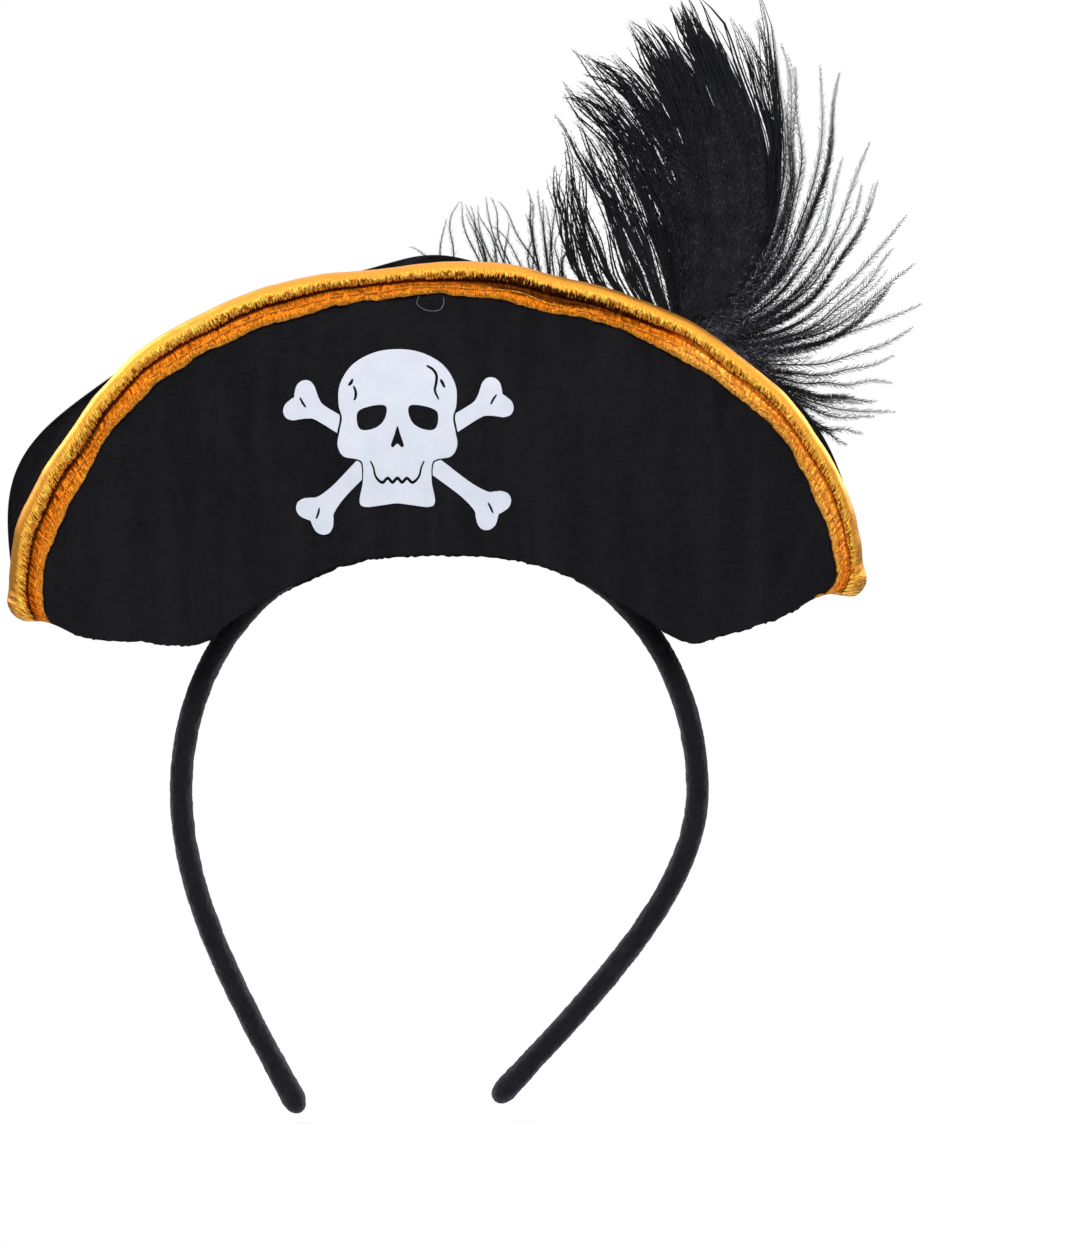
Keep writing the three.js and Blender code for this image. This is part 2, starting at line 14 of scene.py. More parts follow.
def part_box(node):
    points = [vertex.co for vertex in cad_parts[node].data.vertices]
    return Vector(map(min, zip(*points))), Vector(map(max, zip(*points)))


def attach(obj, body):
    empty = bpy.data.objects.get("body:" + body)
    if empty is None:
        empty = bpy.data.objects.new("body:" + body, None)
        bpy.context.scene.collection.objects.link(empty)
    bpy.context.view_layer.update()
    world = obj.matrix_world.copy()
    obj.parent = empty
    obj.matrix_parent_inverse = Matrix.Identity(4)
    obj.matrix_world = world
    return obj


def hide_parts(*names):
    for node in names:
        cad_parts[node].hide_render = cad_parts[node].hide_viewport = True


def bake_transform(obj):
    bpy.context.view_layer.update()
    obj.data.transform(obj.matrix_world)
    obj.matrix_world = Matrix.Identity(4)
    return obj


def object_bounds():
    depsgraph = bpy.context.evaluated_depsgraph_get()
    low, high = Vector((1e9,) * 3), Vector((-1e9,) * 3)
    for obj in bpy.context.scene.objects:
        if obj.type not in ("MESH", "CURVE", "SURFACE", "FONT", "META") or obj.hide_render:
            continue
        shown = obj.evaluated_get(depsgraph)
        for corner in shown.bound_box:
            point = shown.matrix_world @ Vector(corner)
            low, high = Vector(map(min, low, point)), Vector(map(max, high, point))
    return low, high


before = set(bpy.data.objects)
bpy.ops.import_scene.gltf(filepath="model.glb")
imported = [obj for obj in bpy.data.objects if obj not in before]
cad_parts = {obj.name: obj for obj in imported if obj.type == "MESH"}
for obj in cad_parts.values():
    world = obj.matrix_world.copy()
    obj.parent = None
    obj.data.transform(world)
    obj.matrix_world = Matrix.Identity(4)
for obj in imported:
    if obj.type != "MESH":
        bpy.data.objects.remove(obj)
cad_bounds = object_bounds()

MM = 0.001

# ---------------------------------------------------------------- sizes, in millimetres


def box_mm(node):
    """The low and the high corner of a CAD node, in millimetres."""
    low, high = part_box(node)
    return np.array(low) / MM, np.array(high) / MM


BRIM_CENTRE_Z = -5  # centre of the ellipse that the brims' upper edges follow
HAT_LOW_Z = -17  # bottom of the side lobes
HAT_HIGH_Z = box_mm("front_binding")[1][2]
BASE_DEPTH = 18  # half of the hat's depth at the middle
TIP_DEPTH = 6  # and at its left and right tips
BULGE = 2.5  # how much rounder it is half way up
VELVET = 0.6  # thickness of the cloth
FOAM = 1.8  # and of the foam between two layers of it
LAYER_GAP = 0.1
STACK = 2 * VELVET + FOAM + 2 * LAYER_GAP  # a whole brim: velvet, foam and velvet lining
CROWN_GAP = 0.4  # from a brim's lining to the crown
BINDING_WIDTH = 6.8  # how far down the gold band covers a brim
BINDING_WALL = 0.9  # its thickness
BINDING_PUFF = 0.6  # and how much it puffs out
SLEEVE_THICK = 4.2
TIP_LENGTH = 2.4  # how far the sleeve's rounded end reaches past the hoop's centre line
SLEEVE_WIDE = box_mm("band_sleeve_left")[1][1] * 2
BRIM_ENDS = (-98, 94)  # where the brims' upper edges start and stop, in degrees from straight up
CROWN_ENDS = (-94, 91)  # and where the crown's seam does

# ---------------------------------------------------------------- smooth functions


def noise(u, v, seed):
    """Smooth noise in -1..1 over two coordinates, one bump per unit."""
    cells = 256
    lattice = np.random.default_rng(seed).random((cells, cells)) * 2 - 1
    u, v = np.broadcast_arrays(np.asarray(u, float), np.asarray(v, float))
    iu = np.floor(u).astype(int)
    iv = np.floor(v).astype(int)
    fu = u - iu
    fv = v - iv
    fu = fu * fu * (3 - 2 * fu)
    fv = fv * fv * (3 - 2 * fv)
    a = lattice[iu % cells, iv % cells]
    b = lattice[(iu + 1) % cells, iv % cells]
    c = lattice[iu % cells, (iv + 1) % cells]
    d = lattice[(iu + 1) % cells, (iv + 1) % cells]
    return (a * (1 - fu) + b * fu) * (1 - fv) + (c * (1 - fu) + d * fu) * fv


def smoothstep(low, high, x):
    t = np.clip((x - low) / (high - low), 0, 1)
    return t * t * (3 - 2 * t)


def hump(x, middle, wide):
    """A smooth bump of height 1."""
    return np.exp(-(((x - middle) / wide) ** 2))


# ---------------------------------------------------------------- the brims' shape


class Brim:
    """One turned-up brim: its outline and its depth, vectorised over numpy arrays."""

    def __init__(self, name, side, lean):
        low, high = box_mm(f"{name}_binding")
        self.name = name
        self.side = side
        self.lean = lean
        self.middle = (low[0] + high[0]) / 2
        self.half = (high[0] - low[0]) / 2
        self.rise = high[2] - BRIM_CENTRE_Z

    def ellipse(self, degrees, outwards):
        """Points a little outside the brim's own ellipse, at angles from straight up."""
        angle = np.radians(degrees)
        x = self.middle + (self.half + outwards) * np.sin(angle)
        z = BRIM_CENTRE_Z + (self.rise + outwards) * np.cos(angle)
        return np.stack([x, z], -1)

    def edge(self, degrees):
        """The upper edge: flatter at the upper left, highest right of the middle, and never quite even."""
        left = -1.7 * hump(degrees, -63, 15)
        top = 0.5 * hump(degrees, 7, 6) - 1.1 * hump(degrees, -7, 9)
        uneven = 0.35 * noise(degrees / 9, 0, 5 + self.side) + 0.12 * noise(degrees / 3, 0, 7)
        return self.ellipse(degrees, left + top + uneven)

    def fullness(self, x):
        """From 1 at the hat's middle to 0 at its tips."""
        share = np.minimum(1, np.abs(x - self.middle) / self.half)
        return (1 - share**2) ** 0.7

    def depth(self, x, z):
        """How far the brim's face stands from the hat's middle plane."""
        up = np.clip((z - HAT_LOW_Z) / (HAT_HIGH_Z - HAT_LOW_Z), 0, 1)
        middle = BASE_DEPTH + BULGE * np.sin(np.pi * up) - self.lean * up**1.5
        full = self.fullness(x)
        return TIP_DEPTH + (middle - TIP_DEPTH) * full


FRONT = Brim("front", -1, 9)
BACK = Brim("back", 1, 6)

BRIM_LOWER = [
    (-71.4, -13.2), (-69, -15.2), (-65, -16.5), (-56, -17), (-45, -17.3), (-36, -11.5), (-24, -5),
    (-11, -1.2), (11, -1.2), (24, -4.6), (36, -11), (46, -17.1), (52.5, -16.1), (64, -12.4), (69, -9.4),
    (71.2, -7.5),
]
CROWN_LOWER = [
    (-70, -12), (-62, -14.2), (-52, -14.8), (-46, -13.4), (-40, -7.8), (-31, -0.8), (-18, 4.4), (-6, 6.1),
    (6, 6.1), (18, 4.4), (31, -0.8), (40, -7.8), (46, -13.4), (54, -13.2), (62, -10.4), (68, -6.8),
]

# ---------------------------------------------------------------- curves


def catmull(points, per_span=16):
    """A smooth open curve through points, as a dense polyline."""
    p = np.asarray(points, float)
    p = np.vstack([p[:1], p, p[-1:]])
    t = np.linspace(0, 1, per_span, endpoint=False)[:, None]
    spans = []
    for a, b, c, d in zip(p[:-3], p[1:-2], p[2:-1], p[3:]):
        cubic = (3 * b - a - 3 * c + d) * t**3 + (2 * a - 5 * b + 4 * c - d) * t**2 + (c - a) * t + 2 * b
        spans.append(cubic / 2)
    return np.vstack([*spans, p[-2:-1]])


def along(polyline, shares):
    """Points at shares of a polyline's length."""
    steps = np.linalg.norm(np.diff(polyline, axis=0), axis=1)
    length = np.concatenate([[0], np.cumsum(steps)])
    at = np.asarray(shares) * length[-1]
    return np.stack([np.interp(at, length, polyline[:, k]) for k in range(polyline.shape[1])], -1)


def bezier(a, b, c, d, count):
    t = np.linspace(0, 1, count)[:, None]
    a, b, c, d = (np.asarray(p, float) for p in (a, b, c, d))
    return a * (1 - t) ** 3 + 3 * b * t * (1 - t) ** 2 + 3 * c * t**2 * (1 - t) + d * t**3


# ---------------------------------------------------------------- meshes


def piece(name, verts, faces, look, body, nodes, slot, smooth=True):
    """A mesh object from millimetre vertices. It rides on a body, if given one, and stands for CAD nodes."""
    mesh = bpy.data.meshes.new(name)
    mesh.from_pydata((np.asarray(verts) * MM).tolist(), [], [list(f) for f in faces])
    mesh.validate()
    obj = bpy.data.objects.new(name, mesh)
    bpy.context.scene.collection.objects.link(obj)
    mesh.polygons.foreach_set("use_smooth", [smooth] * len(mesh.polygons))
    mesh.materials.append(look)
    if body:
        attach(obj, body)
    if nodes:
        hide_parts(*nodes)
    return obj


def on_hat(name, mesh, look, slot):
    """A piece on the hat's own body that stands for the CAD node of its name."""
    return piece(name, *mesh, look, "hat", [name], slot)


def outward(verts, faces):
    """The faces, turned round if the closed surface they make is inside out."""
    volume = 0.0
    for corners in (3, 4):
        flat = [f for f in faces if len(f) == corners]
        if flat:
            p = verts[np.array(flat)]
            for i in range(1, corners - 1):
                volume += np.einsum("ij,ij->", p[:, 0], np.cross(p[:, i], p[:, i + 1]))
    return faces if volume > 0 else [f[::-1] for f in faces]


def grid_faces(rows, columns, start=0, wrap=False):
    """Quads over a grid of vertices, with its columns closed into a ring if wrap is set."""
    i = np.arange(rows - 1)[:, None] * columns + start
    j = np.arange(columns if wrap else columns - 1)[None, :]
    k = (j + 1) % columns
    quads = np.stack([i + j, i + k, i + k + columns, i + j + columns], -1)
    return quads.reshape(-1, 4).tolist()


def shell(outer, inner):
    """A closed sheet between two grids of points of the same shape."""
    rows, columns, _ = outer.shape
    count = rows * columns
    verts = np.vstack([outer.reshape(-1, 3), inner.reshape(-1, 3)])
    faces = grid_faces(rows, columns)
    faces += [f[::-1] for f in grid_faces(rows, columns, count)]
    index = np.arange(count).reshape(rows, columns)
    rim = np.concatenate([index[0, :-1], index[:-1, -1], index[-1, :0:-1], index[:0:-1, 0]])
    for a, b in zip(rim, np.roll(rim, -1)):
        faces.append([int(b), int(a), int(a) + count, int(b) + count])
    return verts, outward(verts, faces)


def tube(rings):
    """A closed solid through rings of points, with a fan over each end."""
    rows, columns, _ = rings.shape
    verts = np.vstack([rings.reshape(-1, 3), rings[0].mean(0)[None], rings[-1].mean(0)[None]])
    faces = grid_faces(rows, columns, wrap=True)
    first = rows * columns
    last = (rows - 1) * columns
    for j in range(columns):
        k = (j + 1) % columns
        faces.append([first, k, j])
        faces.append([first + 1, last + j, last + k])
    return verts, outward(verts, faces)


def tangents(paths):
    """Unit tangents along one polyline, or along many of the same length."""
    step = np.gradient(paths, axis=-2)
    return step / np.linalg.norm(step, axis=-1, keepdims=True)


def spokes(paths, sides, off_axis):
    """Unit vectors round each point of a polyline, or of many, none of which runs along off_axis."""
    tangent = tangents(paths)
    side = np.cross(tangent, off_axis)
    side /= np.linalg.norm(side, axis=-1, keepdims=True)
    up = np.cross(tangent, side)
    angle = 2 * np.pi * np.arange(sides) / sides
    return side[..., None, :] * np.cos(angle)[:, None] + up[..., None, :] * np.sin(angle)[:, None]


def strands(paths, radii, sides=3):
    """Thin hairs that end in a point: paths is (hairs, points, 3) and radii is (hairs, points)."""
    hairs, points, _ = paths.shape
    rings = paths[:, :, None] + spokes(paths, sides, [0.13, 0.97, 0.2]) * radii[:, :, None, None]
    body = rings[:, :-1].reshape(hairs, -1, 3)
    verts = np.concatenate([body, paths[:, -1:]], 1).reshape(-1, 3)
    per = (points - 1) * sides + 1
    base = (np.arange(hairs) * per)[:, None]
    faces = []
    j = np.arange(sides)
    k = (j + 1) % sides
    for row in range(points - 2):
        at = row * sides
        quads = np.stack([at + j, at + k, at + k + sides, at + j + sides], -1)
        faces += (base[:, :, None] + quads[None]).reshape(-1, 4).tolist()
    at = (points - 2) * sides
    tips = np.stack([at + j, at + k, np.full(sides, per - 1)], -1)
    faces += (base[:, :, None] + tips[None]).reshape(-1, 3).tolist()
    faces += (base + j[::-1][None]).tolist()
    return verts, faces


def thread(path, radius, sides):
    """A round thread along one polyline."""
    radii = np.broadcast_to(radius, len(path))[:, None, None]
    return tube(path[:, None] + spokes(path, sides, [0.1, 1, 0.15]) * radii)


# ---------------------------------------------------------------- materials


class Tree:
    """A short way to build a node tree."""

    def __init__(self, tree):
        self.tree = tree

    def add(self, kind, **settings):
        node = self.tree.nodes.new(kind)
        for key, value in settings.items():
            setattr(node, key, value)
        return node

    def link(self, source, target):
        self.tree.links.new(source, target)

    def ramp(self, source, stops):
        """Colours at places from 0 to 1."""
        node = self.add("ShaderNodeValToRGB")
        elements = node.color_ramp.elements
        while len(elements) < len(stops):
            elements.new(0.5)
        for element, (at, colour) in zip(elements, stops):
            element.position = at
            element.color = (*colour, 1)
        self.link(source, node.inputs["Fac"])
        return node.outputs["Color"]

    def span(self, source, low, high, from_low=0.3, from_high=0.7):
        """A value between from_low and from_high, spread out from low to high."""
        node = self.add("ShaderNodeMapRange")
        node.inputs["From Min"].default_value = from_low
        node.inputs["From Max"].default_value = from_high
        node.inputs["To Min"].default_value = low
        node.inputs["To Max"].default_value = high
        self.link(source, node.inputs["Value"])
        return node.outputs["Result"]


class Look(Tree):
    """A material's node tree, with its shader."""

    def __init__(self, name):
        self.material = bpy.data.materials.new(name)
        self.material.use_nodes = True
        super().__init__(self.material.node_tree)
        self.shader = self.tree.nodes["Principled BSDF"]
        self.place = self.add("ShaderNodeTexCoord").outputs["Object"]

    def values(self, **inputs):
        """Sets the shader's inputs to fixed values."""
        for key, value in inputs.items():
            self.shader.inputs[key.replace("_", " ")].default_value = value

    def feed(self, **sources):
        """Links sources to the shader's inputs."""
        for key, source in sources.items():
            self.link(source, self.shader.inputs[key.replace("_", " ")])

    def noise(self, scale, detail, rough=0.55, stretch=(1, 1, 1)):
        """Noise over the object's own metres, at so many bumps per metre, stretched along each axis."""
        mapping = self.add("ShaderNodeMapping")
        mapping.inputs["Scale"].default_value = stretch
        self.link(self.place, mapping.inputs["Vector"])
        node = self.add("ShaderNodeTexNoise")
        node.inputs["Scale"].default_value = scale
        node.inputs["Detail"].default_value = detail
        node.inputs["Roughness"].default_value = rough
        self.link(mapping.outputs["Vector"], node.inputs["Vector"])
        return node.outputs["Fac"]

    def product(self, a, b):
        node = self.add("ShaderNodeMath", operation="MULTIPLY")
        self.link(a, node.inputs[0])
        self.link(b, node.inputs[1])
        return node.outputs["Value"]

    def sum(self, *terms):
        """The sum of (value, weight) terms."""
        total = None
        for value, weight in terms:
            node = self.add("ShaderNodeMath", operation="MULTIPLY_ADD")
            self.link(value, node.inputs[0])
            node.inputs[1].default_value = weight
            node.inputs[2].default_value = 0
            if total:
                self.link(total, node.inputs[2])
            total = node.outputs["Value"]
        return total

    def blend(self, kind, factor, a, b):
        """Colour a with colour b over it, by a number or by another node's value."""
        node = self.add("ShaderNodeMix", data_type="RGBA", blend_type=kind)
        factor_in, a_in, b_in = node.inputs[0], node.inputs[6], node.inputs[7]
        if isinstance(factor, float):
            factor_in.default_value = factor
        else:
            self.link(factor, factor_in)
        self.link(a, a_in)
        self.link(b, b_in)
        return node.outputs[2]

    def bump(self, *layers):
        """Bumps from (height, distance in metres, strength) layers, one over the other."""
        previous = None
        for height, distance, strength in layers:
            node = self.add("ShaderNodeBump")
            node.inputs["Distance"].default_value = distance
            node.inputs["Strength"].default_value = strength
            self.link(height, node.inputs["Height"])
            if previous:
                self.link(previous, node.inputs["Normal"])
            previous = node.outputs["Normal"]
        self.feed(Normal=previous)


def velvet_look(name, tone=1.0):
    """Short black pile: matt, with a sheen at grazing angles, faint nap streaks and a few pale specks."""
    m = Look(name)
    dark = [tone * level for level in (0.0046, 0.0046, 0.006)]
    light = [tone * level for level in (0.0108, 0.0106, 0.0132)]
    streaks = (1, 1, 0.15)
    nap = m.sum((m.noise(190, 5, 0.65, streaks), 0.55), (m.noise(1500, 3, 0.7, (0.5, 1, 1)), 0.45))
    cloth = m.ramp(nap, [(0.36, dark), (0.66, light)])
    lint = m.add("ShaderNodeTexVoronoi")
    lint.inputs["Scale"].default_value = 130
    m.link(m.place, lint.inputs["Vector"])
    speck = m.ramp(lint.outputs["Distance"], [(0.0, (0.10, 0.10, 0.11)), (0.018, (0, 0, 0))])
    m.feed(Base_Color=m.blend("ADD", 1.0, cloth, speck), Roughness=m.span(m.noise(300, 3), 0.85, 1.0))
    m.values(Sheen_Weight=0.26, Sheen_Roughness=0.4, Sheen_Tint=(0.6, 0.6, 0.72, 1), Specular_IOR_Level=0.08)
    m.bump((m.noise(120, 3, 0.5, streaks), 0.0005, 0.2), (m.noise(3400, 2, 0.6, (0.6, 1, 1)), 0.0002, 0.8))
    return m.material


def gold_look():
    """Foil-backed fabric.

    The band's mesh carries its own coordinates: millimetres along it, millimetres in from its edge, and how
    gathered it is there, which sets its bump and how strongly painted glints and dark specks show. It also
    carries a tone: from 0 on the roll, past 0.5 in the fold, which is painted near black as shade, to 1
    at the flange's edge, which is painted yellow as a highlight.
    """
    m = Look("gold_foil")
    m.place = m.add("ShaderNodeAttribute", attribute_name="band").outputs["Vector"]
    tone = m.add("ShaderNodeAttribute", attribute_name="tone").outputs["Fac"]
    split = m.add("ShaderNodeSeparateXYZ")
    m.link(m.place, split.inputs["Vector"])
    # Z says how crinkled the band is there. It sets the bump and how strongly the painted glints and dark
    # specks show.
    gathered = split.outputs["Z"]

    # Crinkles run across the band, and break up the borders between its colours.
    crinkle = m.noise(1, 2, 0.6, (2.3, 0.65, 0))
    fine = m.noise(1, 2, 0.6, (5.0, 1.6, 0))
    spark = m.span(m.sum((crinkle, 0.6), (fine, 0.4)), 0, 1, 0.38, 0.62)
    # The roll deepens a little towards the fold, as painted shade. The fold's near black is painted shade in
    # the groove, and the flange's last, yellow stop is a painted highlight along its edge.
    roll = [(0.28, (1.0, 0.44, 0.055)), (0.42, (1.0, 0.37, 0.036))]
    fold = [(0.48, (0.10, 0.028, 0.004)), (0.62, (0.15, 0.036, 0.004))]
    flange = [(0.70, (0.72, 0.19, 0.008)), (0.86, (0.86, 0.27, 0.016)), (1.05, (1.0, 0.46, 0.07))]
    TOP = 1.12  # the highest tone, which is brought down to the ramp's 1
    ragged = m.sum((tone, 1 / TOP), (m.product(spark, gathered), -0.30 / TOP), (gathered, 0.12 / TOP))
    bands = m.ramp(ragged, [(at / TOP, colour) for at, colour in roll + fold + flange])
    # Painted glints: where the band is crinkled, its colour is darkened into specks and raised into
    # bluish-white glints.
    painted_glints = m.ramp(spark, [(0.15, (0.22, 0.15, 0.09)), (0.5, (0.85, 0.80, 0.72)), (0.82, (1.6, 1.95, 2.6))])
    m.feed(Base_Color=m.blend("MULTIPLY", gathered, bands, painted_glints), Roughness=m.span(fine, 0.36, 0.52))
    m.values(Metallic=1.0)
    m.bump((m.product(spark, gathered), 0.0004, 0.8), (m.noise(1, 3, 0.6, (2.2, 2.2, 0)), 0.00012, 0.25))
    return m.material


def thread_look():
    """Twisted metallic thread."""
    m = Look("gold_thread")
    twist = m.add("ShaderNodeTexWave", wave_type="BANDS", bands_direction="DIAGONAL")
    twist.inputs["Scale"].default_value = 1500
    m.link(m.place, twist.inputs["Vector"])
    m.feed(Base_Color=m.ramp(twist.outputs["Fac"], [(0.2, (0.7, 0.28, 0.03)), (0.8, (1.0, 0.46, 0.08))]))
    m.values(Metallic=1.0, Roughness=0.4)
    m.bump((twist.outputs["Fac"], 0.0001, 0.6))
    return m.material


def film_look():
    """Heat-pressed white film: smooth, very slightly blue, with the velvet's grain showing through."""
    m = Look("white_film")
    m.feed(Base_Color=m.ramp(m.noise(260, 4), [(0.3, (0.61, 0.645, 0.74)), (0.7, (0.67, 0.70, 0.785))]),
           Roughness=m.span(m.noise(800, 3), 0.36, 0.5))
    m.values(Specular_IOR_Level=0.35)
    m.bump((m.noise(1500, 3), 0.0001, 0.25))
    return m.material


def feather_look(name, tone=1.0):
    """Dyed barbs: near black with a soft silky gleam, and paler in some stretches than in others. A tone
    over 1 makes lighter copies, which the plume uses as painted sheen and painted glints.
    """
    m = Look(name)
    dark = [tone * level for level in (0.0055, 0.0055, 0.007)]
    light = [tone * level for level in (0.0105, 0.0105, 0.0132)]
    m.feed(Base_Color=m.ramp(m.noise(220, 3), [(0.38, dark), (0.62, light)]),
           Roughness=m.span(m.noise(450, 2), 0.65, 0.85))
    m.values(Specular_IOR_Level=0.2, Sheen_Weight=0.05, Sheen_Roughness=0.4, Sheen_Tint=(0.5, 0.55, 0.7, 1))
    return m.material


def matt_look(name, dark, light, scale, rough=(0.7, 0.95), bump=0.3):
    """A plain material with mottled colour, uneven roughness and a fine surface."""
    m = Look(name)
    m.feed(Base_Color=m.ramp(m.noise(scale, 5, 0.6), [(0.3, dark), (0.7, light)]),
           Roughness=m.span(m.noise(scale * 2, 3), *rough))
    m.bump((m.noise(scale * 4, 3, 0.6), 0.0002, bump))
    return m.material


VELVET_LOOK = velvet_look("black_velvet")
SLEEVE_LOOK = velvet_look("sleeve_velvet", 1.15)
GOLD_LOOK = gold_look()
THREAD_LOOK = thread_look()
LINT_LOOK = matt_look("pale_thread", (0.20, 0.20, 0.21), (0.30, 0.30, 0.31), 900, (0.7, 0.9), 0.1)
FILM_LOOK = film_look()
FEATHER_LOOK = feather_look("dyed_barbs")
# Lighter copies of the barbs' colour: painted sheen, and pale painted glints.
PAINTED_SHEEN_LOOK = feather_look("gleaming_down", 5)
PAINTED_GLINT_LOOK = feather_look("pale_down", 30)
FOAM_LOOK = matt_look("brim_foam", (0.012, 0.012, 0.013), (0.03, 0.03, 0.032), 900)
FELT_LOOK = matt_look("base_felt", (0.007, 0.007, 0.008), (0.018, 0.018, 0.02), 700, bump=0.8)
PLASTIC_LOOK = matt_look("hoop_plastic", (0.006, 0.006, 0.007), (0.01, 0.01, 0.011), 300, (0.35, 0.5), 0.1)
GLUE_LOOK = matt_look("set_glue", (0.55, 0.52, 0.42), (0.68, 0.65, 0.55), 200, (0.15, 0.35), 0.1)
STUFFING_LOOK = matt_look("stuffing", (0.7, 0.69, 0.66), (0.86, 0.85, 0.82), 300, (0.9, 1.0), 1.0)
QUILL_LOOK = matt_look("dyed_quill", (0.004, 0.004, 0.005), (0.009, 0.009, 0.009), 500, (0.7, 0.85), 0.15)

# ---------------------------------------------------------------- the brims


def ruled(top, bottom, share):
    """Points at shares of the way from each point of one line to its partner on the other."""
    return top[:, None] + (bottom - top)[:, None] * share[:, :, None]


def brim_lines(brim, stations, trim=0.0):
    """The upper and lower edge of a brim at evenly spaced stations, and how far apart they are."""
    t = np.linspace(trim, 1 - trim, stations)
    top = brim.edge(BRIM_ENDS[0] + (BRIM_ENDS[1] - BRIM_ENDS[0]) * t)
    bottom = along(catmull(BRIM_LOWER), t)
    return top, bottom, np.linalg.norm(bottom - top, axis=1)


SHEET_TRIM = 0.007  # the share of its length by which a sheet stops short of the gold band's knobs


def brim_grid(brim, stations, insets):
    """Grid points (x, z) over a brim. Insets is (stations, rows) in millimetres from the upper edge."""
    top, bottom, long = brim_lines(brim, stations, SHEET_TRIM)
    return ruled(top, bottom, insets / long[:, None])


def brim_insets(brim, stations, rows, start):
    """Even rows from a start, in millimetres from the upper edge, down to the lower edge."""
    _, _, long = brim_lines(brim, stations, SHEET_TRIM)
    return start + (long[:, None] - start) * np.linspace(0, 1, rows)[None]


def relief(brim, x, z):
    """Soft unevenness of the padded cloth, as an offset in millimetres."""
    shift = 300 + 100 * brim.side
    broad = 0.45 * noise(x / 26 + shift, z / 20, 11) + 0.2 * noise(x / 9 + shift, z / 9, 12)
    return broad - 0.1 + (creases(x, z) if brim is FRONT else 0)


def creases(x, z):
    """Faint folds in the front brim's right lobe: an arc where the cloth turns over, and an upright one."""
    arc = 70 - 9 * np.clip((7 - z) / 19, 0, 1) ** 1.5
    fold = 0.8 * hump(x, arc, 0.8) * smoothstep(-14, -9, z) * smoothstep(9, 4, z)
    upright = 0.45 * hump(x, 58.5 + 0.04 * (z - 24), 0.7) * hump(z, 24, 9)
    return fold + upright


def on_brim(brim, grid, off):
    """Grid points lifted off the brim's face by off millimetres, towards the outside."""
    x = grid[..., 0]
    z = grid[..., 1]
    y = brim.side * (brim.depth(x, z) + off)
    return np.stack([x, np.broadcast_to(y, x.shape), z], -1)


def raw_edge(grid, seed, reach):
    """Pulls the last rows of a grid up and down a little, as a cut velvet edge is."""
    x = grid[:, -1, 0]
    jag = reach * (0.6 * noise(x / 0.55 + 50, 0, seed) + 0.6 * noise(x / 1.7, 3, seed + 1))
    grid = grid.copy()
    grid[:, -1, 1] += jag
    grid[:, -2, 1] += 0.4 * jag
    return grid


def brim_sheets(brim):
    """The brim's sheets, from outside in: velvet face, foam and velvet lining."""
    stations = 420
    insets = brim_insets(brim, stations, rows=90, start=1.5)
    under_band = smoothstep(BINDING_WIDTH + 5, BINDING_WIDTH, insets)
    flat = brim_grid(brim, stations, insets)
    pucker = 0.22 * under_band * noise(np.arange(stations)[:, None] / 6.5, insets / 7, 21)
    soft = relief(brim, flat[..., 0], flat[..., 1]) * (1 - under_band)
    face = raw_edge(flat, 31, 0.35)
    sheet = shell(on_brim(brim, face, soft + pucker), on_brim(brim, face, soft + pucker - VELVET))
    on_hat(f"{brim.name}_brim_face", sheet, VELVET_LOOK, "velvet")

    stations = 200
    insets = brim_insets(brim, stations, rows=30, start=1.8)
    flat = brim_grid(brim, stations, insets)
    soft = relief(brim, flat[..., 0], flat[..., 1]) * smoothstep(BINDING_WIDTH, BINDING_WIDTH + 5, insets)

    # The foam stops a little short of the raw edge.
    cut_short = flat.copy()
    cut_short[:, -1, 1] += 0.35
    top_of_foam = soft - VELVET - LAYER_GAP - 0.02
    sheet = shell(on_brim(brim, cut_short, top_of_foam), on_brim(brim, cut_short, top_of_foam - FOAM))
    on_hat(f"{brim.name}_brim_foam", sheet, FOAM_LOOK, "foam")

    lining = raw_edge(flat, 41, 0.25)
    top_of_lining = top_of_foam - FOAM - LAYER_GAP
    sheet = shell(on_brim(brim, lining, top_of_lining), on_brim(brim, lining, top_of_lining - VELVET))
    on_hat(f"{brim.name}_brim_lining", sheet, VELVET_LOOK, "velvet")


# ---------------------------------------------------------------- the gold bands

GROOVE_AT = 4.0  # how far in the groove between the roll and the flange is
FLANGE_END = 7.0  # and how far in the flange ends


def binding_profile():
    """The outer half of the band's section: (inset from the edge, lift off the cloth), flange first."""
    lip = [(FLANGE_END, 0.12), (6.98, 0.45), (6.7, 0.75), (6.0, 0.92), (5.3, 0.8), (4.6, 0.5)]
    groove = [(GROOVE_AT, 0.3)]
    roll = [(3.75, 0.6), (3.35, 1.2), (2.6, 1.72), (1.75, 1.85), (0.95, 1.5), (0.35, 0.75), (0.0, -0.4)]
    return along(catmull(lip + groove + roll, 6), np.linspace(0, 1, 30))


def edge_run(brim, stations):
    """How far along the brim's upper edge each station is, with the brim's lines."""
    top, bottom, long = brim_lines(brim, stations)
    run = np.concatenate([[0], np.cumsum(np.linalg.norm(np.diff(top, axis=0), axis=1))])
    return run, top, bottom, long


def band_width(t, x):
    """The band's width as a share of its usual one: widest at the lower left, pinched left of the top."""
    return 1 + 0.24 * smoothstep(0.30, 0.05, t) - 0.04 * smoothstep(0.82, 0.96, t) - 0.22 * hump(x, -12, 12)


